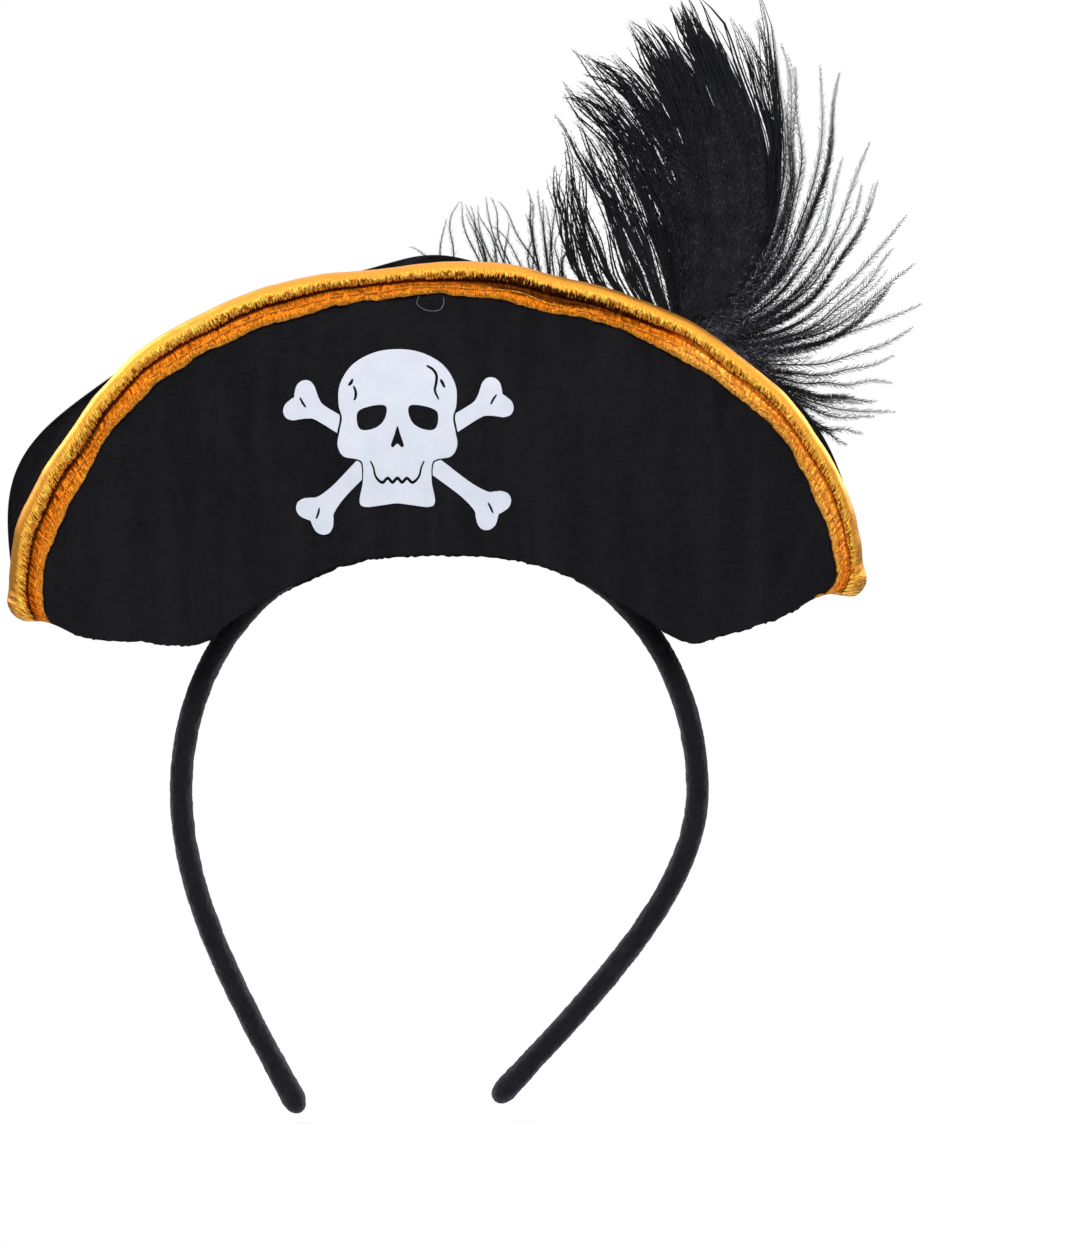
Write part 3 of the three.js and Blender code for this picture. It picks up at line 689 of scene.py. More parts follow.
def binding(brim):
    """The foil band: a section that wraps the brim's upper edge, swept along it."""
    stations = 2050
    outer = binding_profile()
    back = outer[::-1][2::2].copy()
    back[:, 1] = -STACK - back[:, 1] * 0.85
    inner = [(6.9, -STACK - LAYER_GAP), (1.45, -STACK - LAYER_GAP), (1.45, LAYER_GAP), (6.9, LAYER_GAP)]
    profile = np.vstack([outer, back, inner])
    count = len(outer)
    run, top, bottom, long = edge_run(brim, stations)
    u = run[:, None]
    s = np.broadcast_to(profile[None, :, 0], (stations, len(profile)))
    outside = np.zeros(len(profile))
    outside[: count + len(back)] = 1
    sign = np.where(np.arange(len(profile)) < count, 1, -1)
    ends = np.minimum(run, run[-1] - run)[:, None]

    # The flange waves where the sewing gathers it.
    wide = band_width(np.linspace(0, 1, stations), top[:, 0])
    wave = 0.3 * noise(run / 3.1, 0, 51) + 0.1 * noise(run / 0.9, 0, 52) + 0.55 * noise(run / 15, 0, 53)
    flange = smoothstep(GROOVE_AT, FLANGE_END, profile[:, 0])
    flare = 0.36 * smoothstep(8, 1, run[-1] - run)
    inset = s * (wide + flare)[:, None] + wave[:, None] * flange[None]

    # Fine crinkles run across the band below the smooth top of the roll.
    gathered = smoothstep(1.7, 3.1, s + 0.5 * noise(u / 9, 0, 66))
    crinkle = 0.24 * noise(u / 0.5, s / 1.5, 61) + 0.14 * noise(u / 0.3 + 9, s / 0.8, 62)
    puff = 0.14 * noise(u / 4.5, s / 3, 64) + 0.07 * noise(u / 2.1, s / 1.5, 65)
    knot = np.exp(-ends / 4) * (0.5 * noise(u / 0.9, s / 1.1, 67) + 0.5 * noise(u / 2.5, s / 2, 68))
    lift = profile[None, :, 1] + (crinkle * gathered * 0.75 + puff + knot) * outside * sign

    # Each end is gathered into a rounded knob.
    close = np.sqrt(1 - (1 - np.clip(ends / 3.4, 0.01, 1)) ** 2) * (1 + 0.2 * hump(ends, 3.5, 2.5))
    middle_inset = 3.6
    middle_lift = -STACK / 2
    inset = middle_inset + (inset - middle_inset) * (0.15 + 0.85 * close)
    lift = middle_lift + (lift - middle_lift) * close

    flat = ruled(top, bottom, inset / long[:, None])
    made = on_hat(f"{brim.name}_binding", tube(on_brim(brim, flat, lift)), GOLD_LOOK, "gold")
    # Where the painted glints and the crinkles' bump show: below the roll's smooth top, on the flange and at
    # the knobs, less at the flange's very edge.
    crinkle_and_painted_glint_share = np.maximum(hump(s, 2.9, 1.15) + flange * 0.85, np.exp(-ends / 2.5))
    rough = np.clip(crinkle_and_painted_glint_share, 0, 1) * outside * (1 - 0.7 * smoothstep(6.1, 6.9, s))
    per_vertex(made, "band", np.stack([np.broadcast_to(u, s.shape), s, rough], -1))
    per_vertex(made, "tone", band_tone_with_painted_shade(u, s, top[:, :1]))


def band_tone_with_painted_shade(run, inset, x):
    """Which colour of the band shows where, painted shade and painted highlight included.

    The fold, painted dark as shade, is wide right of the top. Further right it is a thin line over a
    yellower flange, which takes the painted highlight's yellow.
    """
    # Where the fold's painted shade is widest, and how far right the flange is painted bright as a highlight.
    dark = hump(x, 19, 14)
    bright = smoothstep(40, 52, x)
    start = 3.3 + 0.35 * noise(run / 8, 0, 72) - 1.1 * dark
    wide = np.maximum(0.6 + 0.25 * noise(run / 11, 0, 73) + 2.4 * dark - 0.3 * bright, 0.15)
    deep = inset - start
    roll = 0.40 * np.clip(inset / start, 0, 1)
    into_fold = 0.16 * np.clip(deep / 0.4, 0, 1)
    out_of_fold = (0.08 + 0.42 * bright) * np.clip((deep - wide + 0.3) / 0.4, 0, 1)
    flange = np.clip((deep - wide) / (FLANGE_END - start - wide), 0, 1)
    return roll + (into_fold + out_of_fold) + 0.36 * (1 - bright) * flange


def per_vertex(obj, name, values):
    """Stores a number or a vector for every vertex of a tube, and repeats its end rings for the two caps."""
    vector = values.ndim == 3
    flat = values.reshape(-1, 3) if vector else values.reshape(-1)
    flat = np.concatenate([flat, flat[:1], flat[-1:]])
    layer = obj.data.attributes.new(name, "FLOAT_VECTOR" if vector else "FLOAT", "POINT")
    layer.data.foreach_set("vector" if vector else "value", flat.astype(np.float32).ravel())


def sewing(brim):
    """The running stitch along the flange: it dips into the foil at each needle hole."""
    stations = 2400
    stitch = 3.2  # the length of one
    sewn_at = 5.3  # how far in it runs
    run, top, bottom, long = edge_run(brim, stations)
    dip = np.abs(np.sin(np.pi * run / stitch)) ** 0.6
    inset = sewn_at * band_width(np.linspace(0, 1, stations), top[:, 0]) + 0.3 * noise(run / 7, 0, 71)
    clear_of_knobs = slice(60, -60)
    flat = (top + (bottom - top) * (inset / long)[:, None])[clear_of_knobs]
    path = on_brim(brim, flat, (0.62 + 0.46 * dip)[clear_of_knobs])
    on_hat(f"{brim.name}_binding_sewing", thread(path, 0.13, 6), THREAD_LOOK, "gold_thread")


def loose_thread():
    """A fine end of thread that hangs in a loop from the front band's seam."""
    loop = catmull([(-3.6, 47.6), (-4.0, 46.0), (-2.2, 44.8), (0.2, 44.9), (1.0, 46.6), (0.4, 48.2)], 12)
    lift = relief(FRONT, loop[:, 0], loop[:, 1]) + 0.35
    path = on_brim(FRONT, loop, lift)
    piece("loose_thread", *thread(path, 0.045, 6), LINT_LOOK, "hat", [], "gold_thread")


# ---------------------------------------------------------------- the crown

RIDGE = 0.62  # half of the crown's thickness at its seam, where the two panels meet
CLOTH_STEPS = 20  # frames that the cloth gets to come to rest
MOST_MOVE = 1.6  # and how far that may move a point


def crown_lines(stations):
    """The crown's seam, which bulges past the brim at the left, the top and the right, and its lower edge."""
    t = np.linspace(0, 1, stations)
    degrees = CROWN_ENDS[0] + (CROWN_ENDS[1] - CROWN_ENDS[0]) * t
    left = 4.5 * hump(degrees, -70, 15)
    mound = 2.5 * hump(degrees, -0.5, 7.6)
    right = 2.1 * hump(degrees, 58.5, 17)
    return FRONT.ellipse(degrees, left + mound + right - 0.9), along(catmull(CROWN_LOWER), t)


def crown_room(brim, x, z):
    """How far the crown may reach towards a brim without touching it."""
    binding_room = BINDING_WALL + LAYER_GAP + BINDING_PUFF
    room = brim.depth(x, z) - STACK - CROWN_GAP - binding_room * (1 - brim.fullness(x))
    return np.maximum(room, RIDGE)


def crown_depth(brim, x, z, w):
    """How far a panel stands out towards a brim, at a share w of the way down from the seam."""
    rise = np.sqrt(1 - (1 - w) ** 1.8)
    return RIDGE + (crown_room(brim, x, z) - RIDGE) * rise


def settled(points):
    """Where a grid of cloth comes to rest when it is let out and blown up, with its rim sewn down."""
    rows, columns, _ = points.shape
    mesh = bpy.data.meshes.new("loose_panel")
    mesh.from_pydata((points.reshape(-1, 3) * MM).tolist(), [], grid_faces(rows, columns))
    obj = bpy.data.objects.new("loose_panel", mesh)
    bpy.context.scene.collection.objects.link(obj)
    index = np.arange(rows * columns).reshape(rows, columns)
    rim = np.unique(np.concatenate([index[0], index[-1], index[:, 0], index[:, -1]]))
    obj.vertex_groups.new(name="rim").add(rim.tolist(), 1.0, "REPLACE")
    settings = obj.modifiers.new("cloth", "CLOTH").settings
    settings.quality = 6
    settings.mass = 0.2
    settings.bending_stiffness = 0.05
    settings.vertex_group_mass = "rim"
    settings.shrink_min = -0.06
    settings.use_pressure = True
    settings.uniform_pressure_force = 2
    settings.effector_weights.gravity = 0
    for step in range(1, CLOTH_STEPS + 1):
        bpy.context.scene.frame_set(step)
    still = obj.evaluated_get(bpy.context.evaluated_depsgraph_get())
    rest = np.empty(rows * columns * 3, np.float32)
    still.data.vertices.foreach_get("co", rest)
    bpy.context.scene.frame_set(1)
    bpy.data.objects.remove(obj)
    return rest.reshape(points.shape) / MM


def refined(grid):
    """A grid with a new row and a new column between each two, on smooth curves through its points."""
    for axis in (0, 1):
        old = np.moveaxis(grid, axis, 0)
        wide = np.concatenate([2 * old[:1] - old[1:2], old, 2 * old[-1:] - old[-2:-1]])
        new = np.empty((2 * len(old) - 1, *old.shape[1:]))
        new[::2] = old
        new[1::2] = (9 * (wide[1:-2] + wide[2:-1]) - wide[:-3] - wide[3:]) / 16
        grid = np.moveaxis(new, 0, axis)
    return grid


def crown():
    """Two padded panels. Each is simulated as cloth, and kept within the room between the brims."""
    stations = 210
    rows = 40
    top, bottom = crown_lines(stations)
    w = np.linspace(0, 1, rows) ** 1.4
    flat = ruled(top, bottom, w[None])
    x = flat[..., 0]
    z = flat[..., 1]
    keep_seam = smoothstep(0, 0.35, w)[None, :, None] ** [1, 0, 1]
    for brim in (FRONT, BACK):
        sewn = np.stack([x, brim.side * crown_depth(brim, x, z, w), z], -1)
        moved = (settled(sewn) - sewn) * keep_seam
        size = np.linalg.norm(moved, axis=-1, keepdims=True)
        outer = refined(sewn + moved * np.minimum(1, MOST_MOVE / np.maximum(size, 0.001)))

        # Small gathers fan out from the seam.
        s = np.linspace(0, 1, len(outer))[:, None]
        down = np.linspace(0, 1, outer.shape[1])[None] ** 1.4
        gather = 0.35 * noise(s * 95 + brim.side, down * 3, 81) + 0.2 * noise(s * 210, down * 8, 82)
        gather = gather * np.exp(-down * 9) * smoothstep(0, 0.03, down)
        deep = brim.side * outer[..., 1] + gather
        deep = np.clip(deep, RIDGE, crown_room(brim, outer[..., 0], outer[..., 2]))
        outer[..., 1] = brim.side * deep
        sheet = shell(outer, outer - [0, brim.side * VELVET, 0])
        on_hat(f"crown_{brim.name}_panel", sheet, VELVET_LOOK, "velvet")


def stuffing():
    """Loose fibre that fills the crown, short of its edges."""
    top, bottom = crown_lines(120)
    short_of_tips = slice(14, -14)
    behind_panel = 2.6
    w = np.linspace(0.1, 0.93, 30)
    flat = ruled(top, bottom, w[None])[short_of_tips]
    x = flat[..., 0]
    z = flat[..., 1]
    sides = []
    for brim in (FRONT, BACK):
        deep = crown_depth(brim, x, z, w) - behind_panel + 0.5 * noise(x / 3, z / 3, 91 + brim.side)
        sides.append(np.stack([x, brim.side * np.maximum(deep, 0.3), z], -1))
    on_hat("crown_stuffing", shell(*sides), STUFFING_LOOK, "stuffing")


# ---------------------------------------------------------------- the headband


def hoop_line(side):
    """The hoop's centre line from the middle of the top down to one tip, in x and z."""
    top = SLEEVE_THICK / 2
    widest = (side * 48.5, -45)
    flat = np.linspace([0, top], [side * 5, top], 12)[:-1]
    upper = bezier((side * 5, top), (side * 32, top), (side * 48.5, -20), widest, 120)
    if side < 0:
        lower = bezier(widest, (-48.5, -64), (-39, -81.5), (-27.1, -103.4), 120)
    else:
        lower = bezier(widest, (48.5, -63), (31.1, -81.1), (12, -101.6), 120)
    return np.vstack([flat, upper, lower[1:]])


def sleeve(side, name):
    """Half of the velvet sleeve, from the middle of the top to one tip."""
    stations = 620
    sides = 48
    centre = hoop_line(side)
    end = centre[-1] + TIP_LENGTH * tangents(centre)[-1]
    line = along(np.vstack([centre, end]), np.linspace(0, 1, stations))
    tangent = tangents(line)
    normal = np.stack([-tangent[:, 1], tangent[:, 0]], -1) * side
    length = np.linalg.norm(np.diff(line, axis=0), axis=1).sum()
    run = np.linspace(0, length, stations)

    # The tip is rounded over its last few millimetres.
    left = length - run
    close = np.sqrt(1 - (1 - np.clip(left / 3.2, 0, 1)) ** 2)
    close = np.maximum(close, 0.02)[:, None]

    # The section is a rounded box. Powers over 2 square it off.
    angle = 2 * np.pi * np.arange(sides) / sides
    across = np.sign(np.cos(angle)) * np.abs(np.cos(angle)) ** (2 / 2.6) * SLEEVE_WIDE / 2
    thick = np.sign(np.sin(angle)) * np.abs(np.sin(angle)) ** (2 / 2.2) * SLEEVE_THICK / 2

    # Short pile all round, and ribs on the side towards the head.
    u = run[:, None]
    v = angle[None] * 2.2
    pile = 0.07 * noise(u / 0.5, v * 2.2, 101 + side) + 0.06 * noise(u / 2.2, v, 103 + side)
    towards_head = smoothstep(0.2, -0.9, np.sin(angle))[None]
    ribs = 0.07 * towards_head * noise(u / 1.3, v * 0.4, 105)
    swell = 1 + (pile + ribs) / (SLEEVE_THICK / 2)
    y = across[None] * close * swell
    lift = thick[None] * close * swell * (1 + 0.06 * (1 - smoothstep(4, 14, left))[:, None])
    x = line[:, None, 0] + normal[:, None, 0] * lift
    z = line[:, None, 1] + normal[:, None, 1] * lift
    nodes = [f"band_sleeve_{name}"] + (["band_sleeve_crown"] if side < 0 else [])
    made = piece(f"band_sleeve_{name}", *tube(np.stack([x, y, z], -1)), SLEEVE_LOOK, None, nodes, "velvet")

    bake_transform(made)


# ---------------------------------------------------------------- skull and crossbones


def closed(points, per_span):
    """A smooth closed outline through points."""
    p = np.asarray(points, float)
    wrapped = np.vstack([p[-2:], p, p[:3]])
    dense = catmull(wrapped, per_span)
    return dense[3 * per_span : (len(p) + 3) * per_span]


def inside(points, loops):
    """Which points lie inside an odd number of loops."""
    hit = np.zeros(len(points), bool)
    x, z = points[:, 0], points[:, 1]
    for loop in loops:
        a = loop
        b = np.roll(loop, -1, axis=0)
        for (ax, az), (bx, bz) in zip(a, b):
            crosses = (az > z) != (bz > z)
            if not crosses.any():
                continue
            hit ^= crosses & (x < (bx - ax) * (z - az) / (bz - az + 1e-12) + ax)
    return hit


def sheet_inside(loops, keep_off):
    """A flat triangle mesh within the first outline, out of the other ones and out of those to keep off."""
    FINE = 0.9  # how far apart the points that fill it are
    CLEAR = 0.35  # and how far they stay from the outlines

    def covered(points):
        return inside(points, loops) & ~inside(points, keep_off)

    low = loops[0].min(0)
    high = loops[0].max(0)
    gx, gz = np.meshgrid(np.arange(low[0], high[0], FINE), np.arange(low[1], high[1], FINE))
    fill = np.stack([gx.ravel(), gz.ravel()], -1)
    fill = fill[covered(fill)]
    every = [*loops, *keep_off]
    rim = np.vstack(every)
    near = np.array([np.min(np.hypot(*(rim - p).T)) for p in fill])
    points = [Vector(p) for p in np.vstack([rim, fill[near > CLEAR]])]
    edges = []
    for loop in every:
        start = len(edges)
        count = len(loop)
        edges += [(start + i, start + (i + 1) % count) for i in range(count)]
    made, _, faces, *_ = geometry.delaunay_2d_cdt(points, edges, [], 0, 1e-5)
    flat = np.array([tuple(p) for p in made])
    middles = np.array([flat[list(f)].mean(0) for f in faces])
    faces = [f for f, kept in zip(faces, covered(middles)) if kept]
    used = sorted({i for f in faces for i in f})
    renumber = {old: new for new, old in enumerate(used)}
    return flat[used], [[renumber[i] for i in f] for f in faces]


def film(name, loops, keep_off=()):
    """A film pressed on the front brim, cut to closed outlines: the first outside and the rest holes."""
    OFF_CLOTH = 0.03
    THICK = 0.22
    flat, faces = sheet_inside(loops, keep_off)
    x, z = flat[:, 0], flat[:, 1]
    cloth = FRONT.depth(x, z) + relief(FRONT, x, z)
    lower = np.stack([x, -(cloth + OFF_CLOTH), z], -1)
    upper = np.stack([x, -(cloth + OFF_CLOTH + THICK), z], -1)
    count = len(flat)
    edges = dict.fromkeys((a, b) for f in faces for a, b in zip(f, f[1:] + f[:1]))
    sides = [[b, a, a + count, b + count] for a, b in edges if (b, a) not in edges]
    verts = np.vstack([upper, lower])
    faces = faces + [[i + count for i in f[::-1]] for f in faces] + sides
    obj = piece(name, verts, outward(verts, faces), FILM_LOOK, "hat", [name], "film", smooth=False)
    bevel = obj.modifiers.new("soft_edge", "BEVEL")
    bevel.width = 0.07 * MM
    bevel.segments = 2
    bevel.limit_method = "ANGLE"
    bevel.angle_limit = math.radians(50)


SKULL_BOX = [b[[0, 2]] for b in box_mm("skull_film")]
SKULL_MIDDLE = (SKULL_BOX[0] + SKULL_BOX[1]) / 2
SKULL_SIZE = SKULL_BOX[1] - SKULL_BOX[0]


def on_skull(points, mirror=False):
    """Points of the drawing, in halves of the skull's width and height, as millimetres on the brim."""
    p = np.asarray(points, float) * (-1 if mirror else 1, 1)
    return SKULL_MIDDLE + p * SKULL_SIZE / 2


def cut(points, width, per_span=6):
    """A thin cut along a line, narrower towards its ends, as a closed outline."""
    line = catmull(points, per_span)
    tangent = tangents(line)
    taper = np.sin(np.linspace(0.3, math.pi - 0.3, len(line)))[:, None] ** 0.6
    normal = np.stack([-tangent[:, 1], tangent[:, 0]], -1) * taper * width / 2
    return np.vstack([line + normal, (line - normal)[::-1]])


def skull_loops():
    """A plain skull: its outline, then its eyes, nose, grin and cracks as holes."""
    right = [
        (0, 1), (0.40, 0.955), (0.76, 0.80), (0.965, 0.55), (0.985, 0.30), (0.93, 0.13), (0.97, -0.05),
        (1.0, -0.22), (0.90, -0.36), (0.66, -0.40), (0.58, -0.46), (0.575, -0.68), (0.63, -0.93),
        (0.53, -1.0), (0.22, -0.975),
    ]
    bottom = [(0, -0.955)]
    left = [(-x, z) for x, z in right[:0:-1]]
    outline = on_skull(closed(right + bottom + left, 7))
    eye = closed([
        (0.18, 0.21), (0.22, 0.285), (0.42, 0.28), (0.63, 0.225), (0.68, 0.14), (0.65, 0.01),
        (0.55, -0.03), (0.37, 0.0), (0.24, 0.08),
    ], 6)
    nose = closed([
        (0.0, 0.025), (0.045, -0.08), (0.105, -0.215), (0.07, -0.245), (0, -0.20), (-0.07, -0.245),
        (-0.105, -0.215), (-0.045, -0.08),
    ], 4)
    loops = [outline, on_skull(eye), on_skull(eye, mirror=True), on_skull(nose)]

    # The grin: a curved line from cheek to cheek with small teeth along its middle.
    teeth = 7
    grin = [(-0.45, -0.42), (-0.40, -0.50), (-0.37, -0.60), (-0.31, -0.665)]
    grin += [(-0.24 + 0.48 * i / (teeth - 1), -0.635 if i % 2 else -0.69) for i in range(teeth)]
    grin += [(-x, z) for x, z in grin[3::-1]]
    loops.append(on_skull(cut(grin, 0.044, 3)))

    cracks = [
        [(-0.82, 0.54), (-0.775, 0.575), (-0.75, 0.62)],
        [(-0.735, 0.53), (-0.70, 0.46), (-0.70, 0.40), (-0.725, 0.35)],
        [(0.485, 0.79), (0.59, 0.74), (0.65, 0.665), (0.645, 0.57), (0.625, 0.47), (0.69, 0.36)],
        [(0.715, 0.615), (0.75, 0.57), (0.79, 0.51)],
    ]
    return loops + [on_skull(cut(line, 0.045)) for line in cracks]


# Each bone's inner end from the skull's middle, its angle in degrees and the length of its shaft.
BONES = {
    "upper_left": ((-10.3, 0.35), 149, 9.6),
    "upper_right": ((10.65, 0.75), 32, 9.6),
    "lower_left": ((-6.5, -7.3), 226, 13),
    "lower_right": ((7.6, -7.6), -37, 13.2),
}


def bone_loops(at, degrees, shaft):
    """A bone from within the skull's outline out to two knobs, with a small cut between them."""
    angle = math.radians(degrees)
    axis = np.array([math.cos(angle), math.sin(angle)])
    across = np.array([-axis[1], axis[0]])
    long = shaft + 1.6
    half = [
        (-2.4, 1.5), (long * 0.4, 1.55), (long - 5.0, 2.1), (long - 3.8, 3.0), (long - 2.8, 3.8),
        (long - 1.5, 4.1), (long - 0.4, 3.4), (long, 2.1), (long - 0.4, 0.7),
    ]
    ring = [(-3, 0)] + half + [(long - 0.7, 0)] + [(a, -b) for a, b in half[::-1]]
    lean = -0.5 if math.sin(2 * angle) > 0 else 0.5
    slit = [(long - 1.7, -lean), (long - 2.7, 0.1), (long - 3.6, lean)]
    start = SKULL_MIDDLE + at
    return [start + p[:, :1] * axis + p[:, 1:] * across for p in (closed(ring, 6), cut(slit, 0.42))]


def emblem():
    """The skull's film, and four bones' films that stop a little short of it."""
    loops = skull_loops()
    film("skull_film", loops)
    grown = SKULL_MIDDLE + (loops[0] - SKULL_MIDDLE) * 1.035
    for name, bone in BONES.items():
        film(f"bone_{name}_film", bone_loops(*bone), [grown])


# ---------------------------------------------------------------- the plume

# Guide barbs, in order round the fan: start, two controls and tip, each (x, z), then the tip's y.
INNER_GUIDES = [
    [(45, 40.5), (24, 44), (24, 58), (22, 73.5), 7],
    [(45, 40.5), (27, 44), (27, 62), (23.4, 77), 7],
    [(45, 40.5), (31, 46), (33, 66), (21.4, 81.2), 8],
    [(45, 40.5), (38, 50), (36, 74), (22.4, 83.5), 8.5],
    [(45, 40.5), (44, 53), (38, 78.5), (24.2, 87.3), 9],
    [(45, 40.5), (49, 55), (40, 82.5), (26, 90), 10],
    [(45, 41), (53, 57), (42, 86), (29, 93), 10.5],
    [(46, 42), (58, 60), (45.5, 87.5), (34.5, 98.3), 11],
    [(47, 43), (63, 60), (48.5, 88), (40.5, 101), 11],
    [(48, 43), (68, 60), (52.5, 89), (46, 102.6), 11],
    [(48, 43), (74, 60), (59.5, 87), (51.3, 102.2), 10.5],
]
OUTER_GUIDES = [
    [(48, 42), (66, 57), (67, 82), (55.8, 100.2), 8],
    [(48, 42), (65, 54), (67, 76), (60.6, 101.3), 9],
    [(48, 41.5), (66, 53), (68, 74), (62.8, 100), 10],
    [(49, 42), (66, 51), (70, 72), (64.8, 96.2), 8],
    [(50, 42), (67, 50), (71, 72), (67, 92), 9],
    [(49, 41.5), (67, 48), (73, 70), (72, 93.7), 10],
    [(50, 41.5), (68, 48), (73, 66), (75.8, 90.4), 9],
    [(50, 41), (68, 46), (73, 60), (75.4, 74.4), 11],
    [(50, 41), (70, 43), (75, 60), (81.8, 78.5), 8],
    [(50, 40.5), (69, 42), (76, 56), (80.6, 68.6), 10],
    [(50, 40.5), (71, 41), (77, 55), (84.3, 71), 9],
    [(50, 40.5), (66, 37), (77, 48), (88.6, 64), 9],
    [(50, 40), (66, 36), (77, 45), (85.8, 57), 8],
    [(50, 40), (65, 35.5), (78, 43), (89.3, 55), 10],
    [(51, 39.5), (64, 34.5), (77, 40), (85, 50.5), 7],
    [(52, 39), (64, 34), (78, 41), (91.5, 47.4), 8],
    [(53, 38.5), (64, 32.5), (76, 34), (89.9, 41.2), 7],
    [(54, 38), (65, 31), (75, 33), (85.8, 37.4), 7],
    [(55, 37), (65, 30), (74, 32), (85.8, 32.6), 6],
    [(57, 35.5), (66, 29.5), (73, 28.5), (82.6, 28.6), 6],
    [(58, 34.5), (66, 28.5), (75, 26), (86.5, 25.8), 6],
    [(60, 32.5), (67, 26.5), (74, 25.5), (83.2, 24.6), 5],
    [(62, 30.5), (68, 25.5), (73, 22.5), (80, 23.6), 5],
    [(63, 29.5), (68, 25), (72, 22.5), (77, 20.8), 5],
]
# Barbs of the plume's trailing side that show over the top of the hat, each as in the guides above.
WISPS = [
    [(4.5, 46), (1.0, 54), (2.0, 61), (3.4, 66.6), 8],
    [(10, 46), (7.0, 57), (4.6, 61), (3.6, 66.4), 8],
    [(11, 46), (8.2, 57), (6.2, 61), (5.4, 66.2), 9],
    [(13, 46), (9.5, 57), (8.0, 61), (6.6, 65.6), 8],
    [(13, 46), (12.2, 54), (12.5, 59), (12.6, 62.8), 9],
    [(16, 46), (12.5, 56), (10.4, 62), (9.6, 67.4), 8],
    [(22, 46), (17.5, 56), (13.5, 62), (11, 66.6), 9],
    [(18.5, 46), (17.4, 55), (17, 62), (17.6, 66), 8],
    [(19.5, 46), (18.2, 58), (17.2, 65), (16, 68.6), 8],
    [(21, 46), (20.4, 56), (19.6, 62), (19.1, 66.8), 9],
    [(23, 46), (20.8, 57), (21, 64), (22, 70.6), 8],
    [(25, 45), (22.4, 52), (23, 56), (24.6, 59), 8],
    [(24, 45), (21.6, 53), (22, 57), (22.6, 61), 8],
    [(5, 50), (1.5, 54.5), (-3, 55.6), (-6.2, 57.6), 8],
]
QUILL_Y = 6.3  # where the barbs start, in depth
QUILL_START = (45, 40.5)  # where the quill comes out from behind the crown
DENSE_POINTS = 18  # points along each barb of the dense vane
OPEN_POINTS = 22  # and of the open one


def guide_curve(guide, points):
    """A guide barb as a dense line in three dimensions."""
    a, b, c, d, tip_y = guide
    flat = bezier(a, b, c, d, points)
    y = QUILL_Y + (tip_y - QUILL_Y) * np.linspace(0, 1, points) ** 1.2
    return np.stack([flat[:, 0], y, flat[:, 1]], -1)


def between(guides, at, points):
    """Barbs at places between neighbouring guides: 0 is the first guide and 1 the second."""
    lines = np.array([guide_curve(g, points) for g in guides])
    low = np.clip(at.astype(int), 0, len(guides) - 2)
    mix = (at - low)[:, None, None]
    return lines[low] * (1 - mix) + lines[low + 1] * mix


def shortened(barbs, reach):
    """Each barb cut back to a share of its length."""
    t = np.linspace(0, 1, barbs.shape[1])
    kept = [[np.interp(r * t, t, barb[:, k]) for k in range(3)] for barb, r in zip(barbs, reach)]
    return np.array(kept).transpose(0, 2, 1)


def wandering(barbs, rng, spread, depth):
    """Each barb bent its own way, more towards its tip, as its neighbours' are not."""
    t = np.linspace(0, 1, barbs.shape[1])[None, :, None]
    bend = rng.normal(0, 1, (len(barbs), 1, 3)) * (spread, depth, spread)
    late = rng.normal(0, 1, (len(barbs), 1, 3)) * (spread * 0.6, depth * 0.4, spread * 0.6)
    return barbs + bend * t + late * t**3


def barbules(barbs, rng, spacing, length, lean, thick, start):
    """Fine side hairs on both sides of each barb from a start on, leaning towards its tip."""
    paths = []
    radii = []
    for barb in barbs:
        total = np.linalg.norm(np.diff(barb, axis=0), axis=1).sum()
        count = max(4, int(total * (1 - start) / spacing))
        share = start + (0.99 - start) * (np.arange(count) + rng.random(count)) / count
        base = along(barb, share)
        tangent = along(barb, np.minimum(share + 0.01, 1)) - along(barb, share - 0.01)
        tangent /= np.linalg.norm(tangent, axis=1, keepdims=True)
        side = np.cross(tangent, [0, 1, 0])
        side /= np.linalg.norm(side, axis=1, keepdims=True)
        flip = np.where(np.arange(count) % 2, 1, -1)[:, None]
        out = side * flip + rng.normal(0, 0.4, (count, 1)) * [0, 1, 0]
        angle = rng.normal(lean, 0.14, (count, 1))
        taper = 1 - 0.5 * share[:, None] ** 2 - 0.35 * share[:, None] ** 12
        size = length * rng.uniform(0.55, 1.15, (count, 1)) * taper
        middle = base + (tangent * np.cos(angle) + out * np.sin(angle)) * size * 0.6
        tip = middle + (tangent * np.cos(angle * 0.6) + out * np.sin(angle * 0.6)) * size * 0.4
        paths.append(np.stack([base, middle, tip], 1))
        radii.append(np.broadcast_to([thick, thick * 0.8, 0], (count, 3)))
    return strands(np.vstack(paths), np.vstack(radii))


def joined(*parts):
    """Several (verts, faces) as one."""
    verts = []
    faces = []
    shift = 0
    for part_verts, part_faces in parts:
        verts.append(part_verts)
        faces += [[i + shift for i in f] for f in part_faces]
        shift += len(part_verts)
    return np.vstack(verts), faces


def stems(barbs, radius, sides=3, point=2.5):
    """The barbs' own shafts. A higher point keeps them thick until nearer the tip."""
    t = np.linspace(0, 1, barbs.shape[1])
    profile = (0.6 + 0.4 * np.sin(np.pi * np.clip(t * 0.9 + 0.05, 0, 1))) * (1 - t**point) + 0.05
    return strands(barbs, profile[None] * np.asarray(radius).reshape(-1, 1), sides)


def hairs(name, look, *parts, nodes=()):
    """One piece of the plume from several (verts, faces)."""
    piece(name, *joined(*parts), look, "plume", nodes, "barbs")


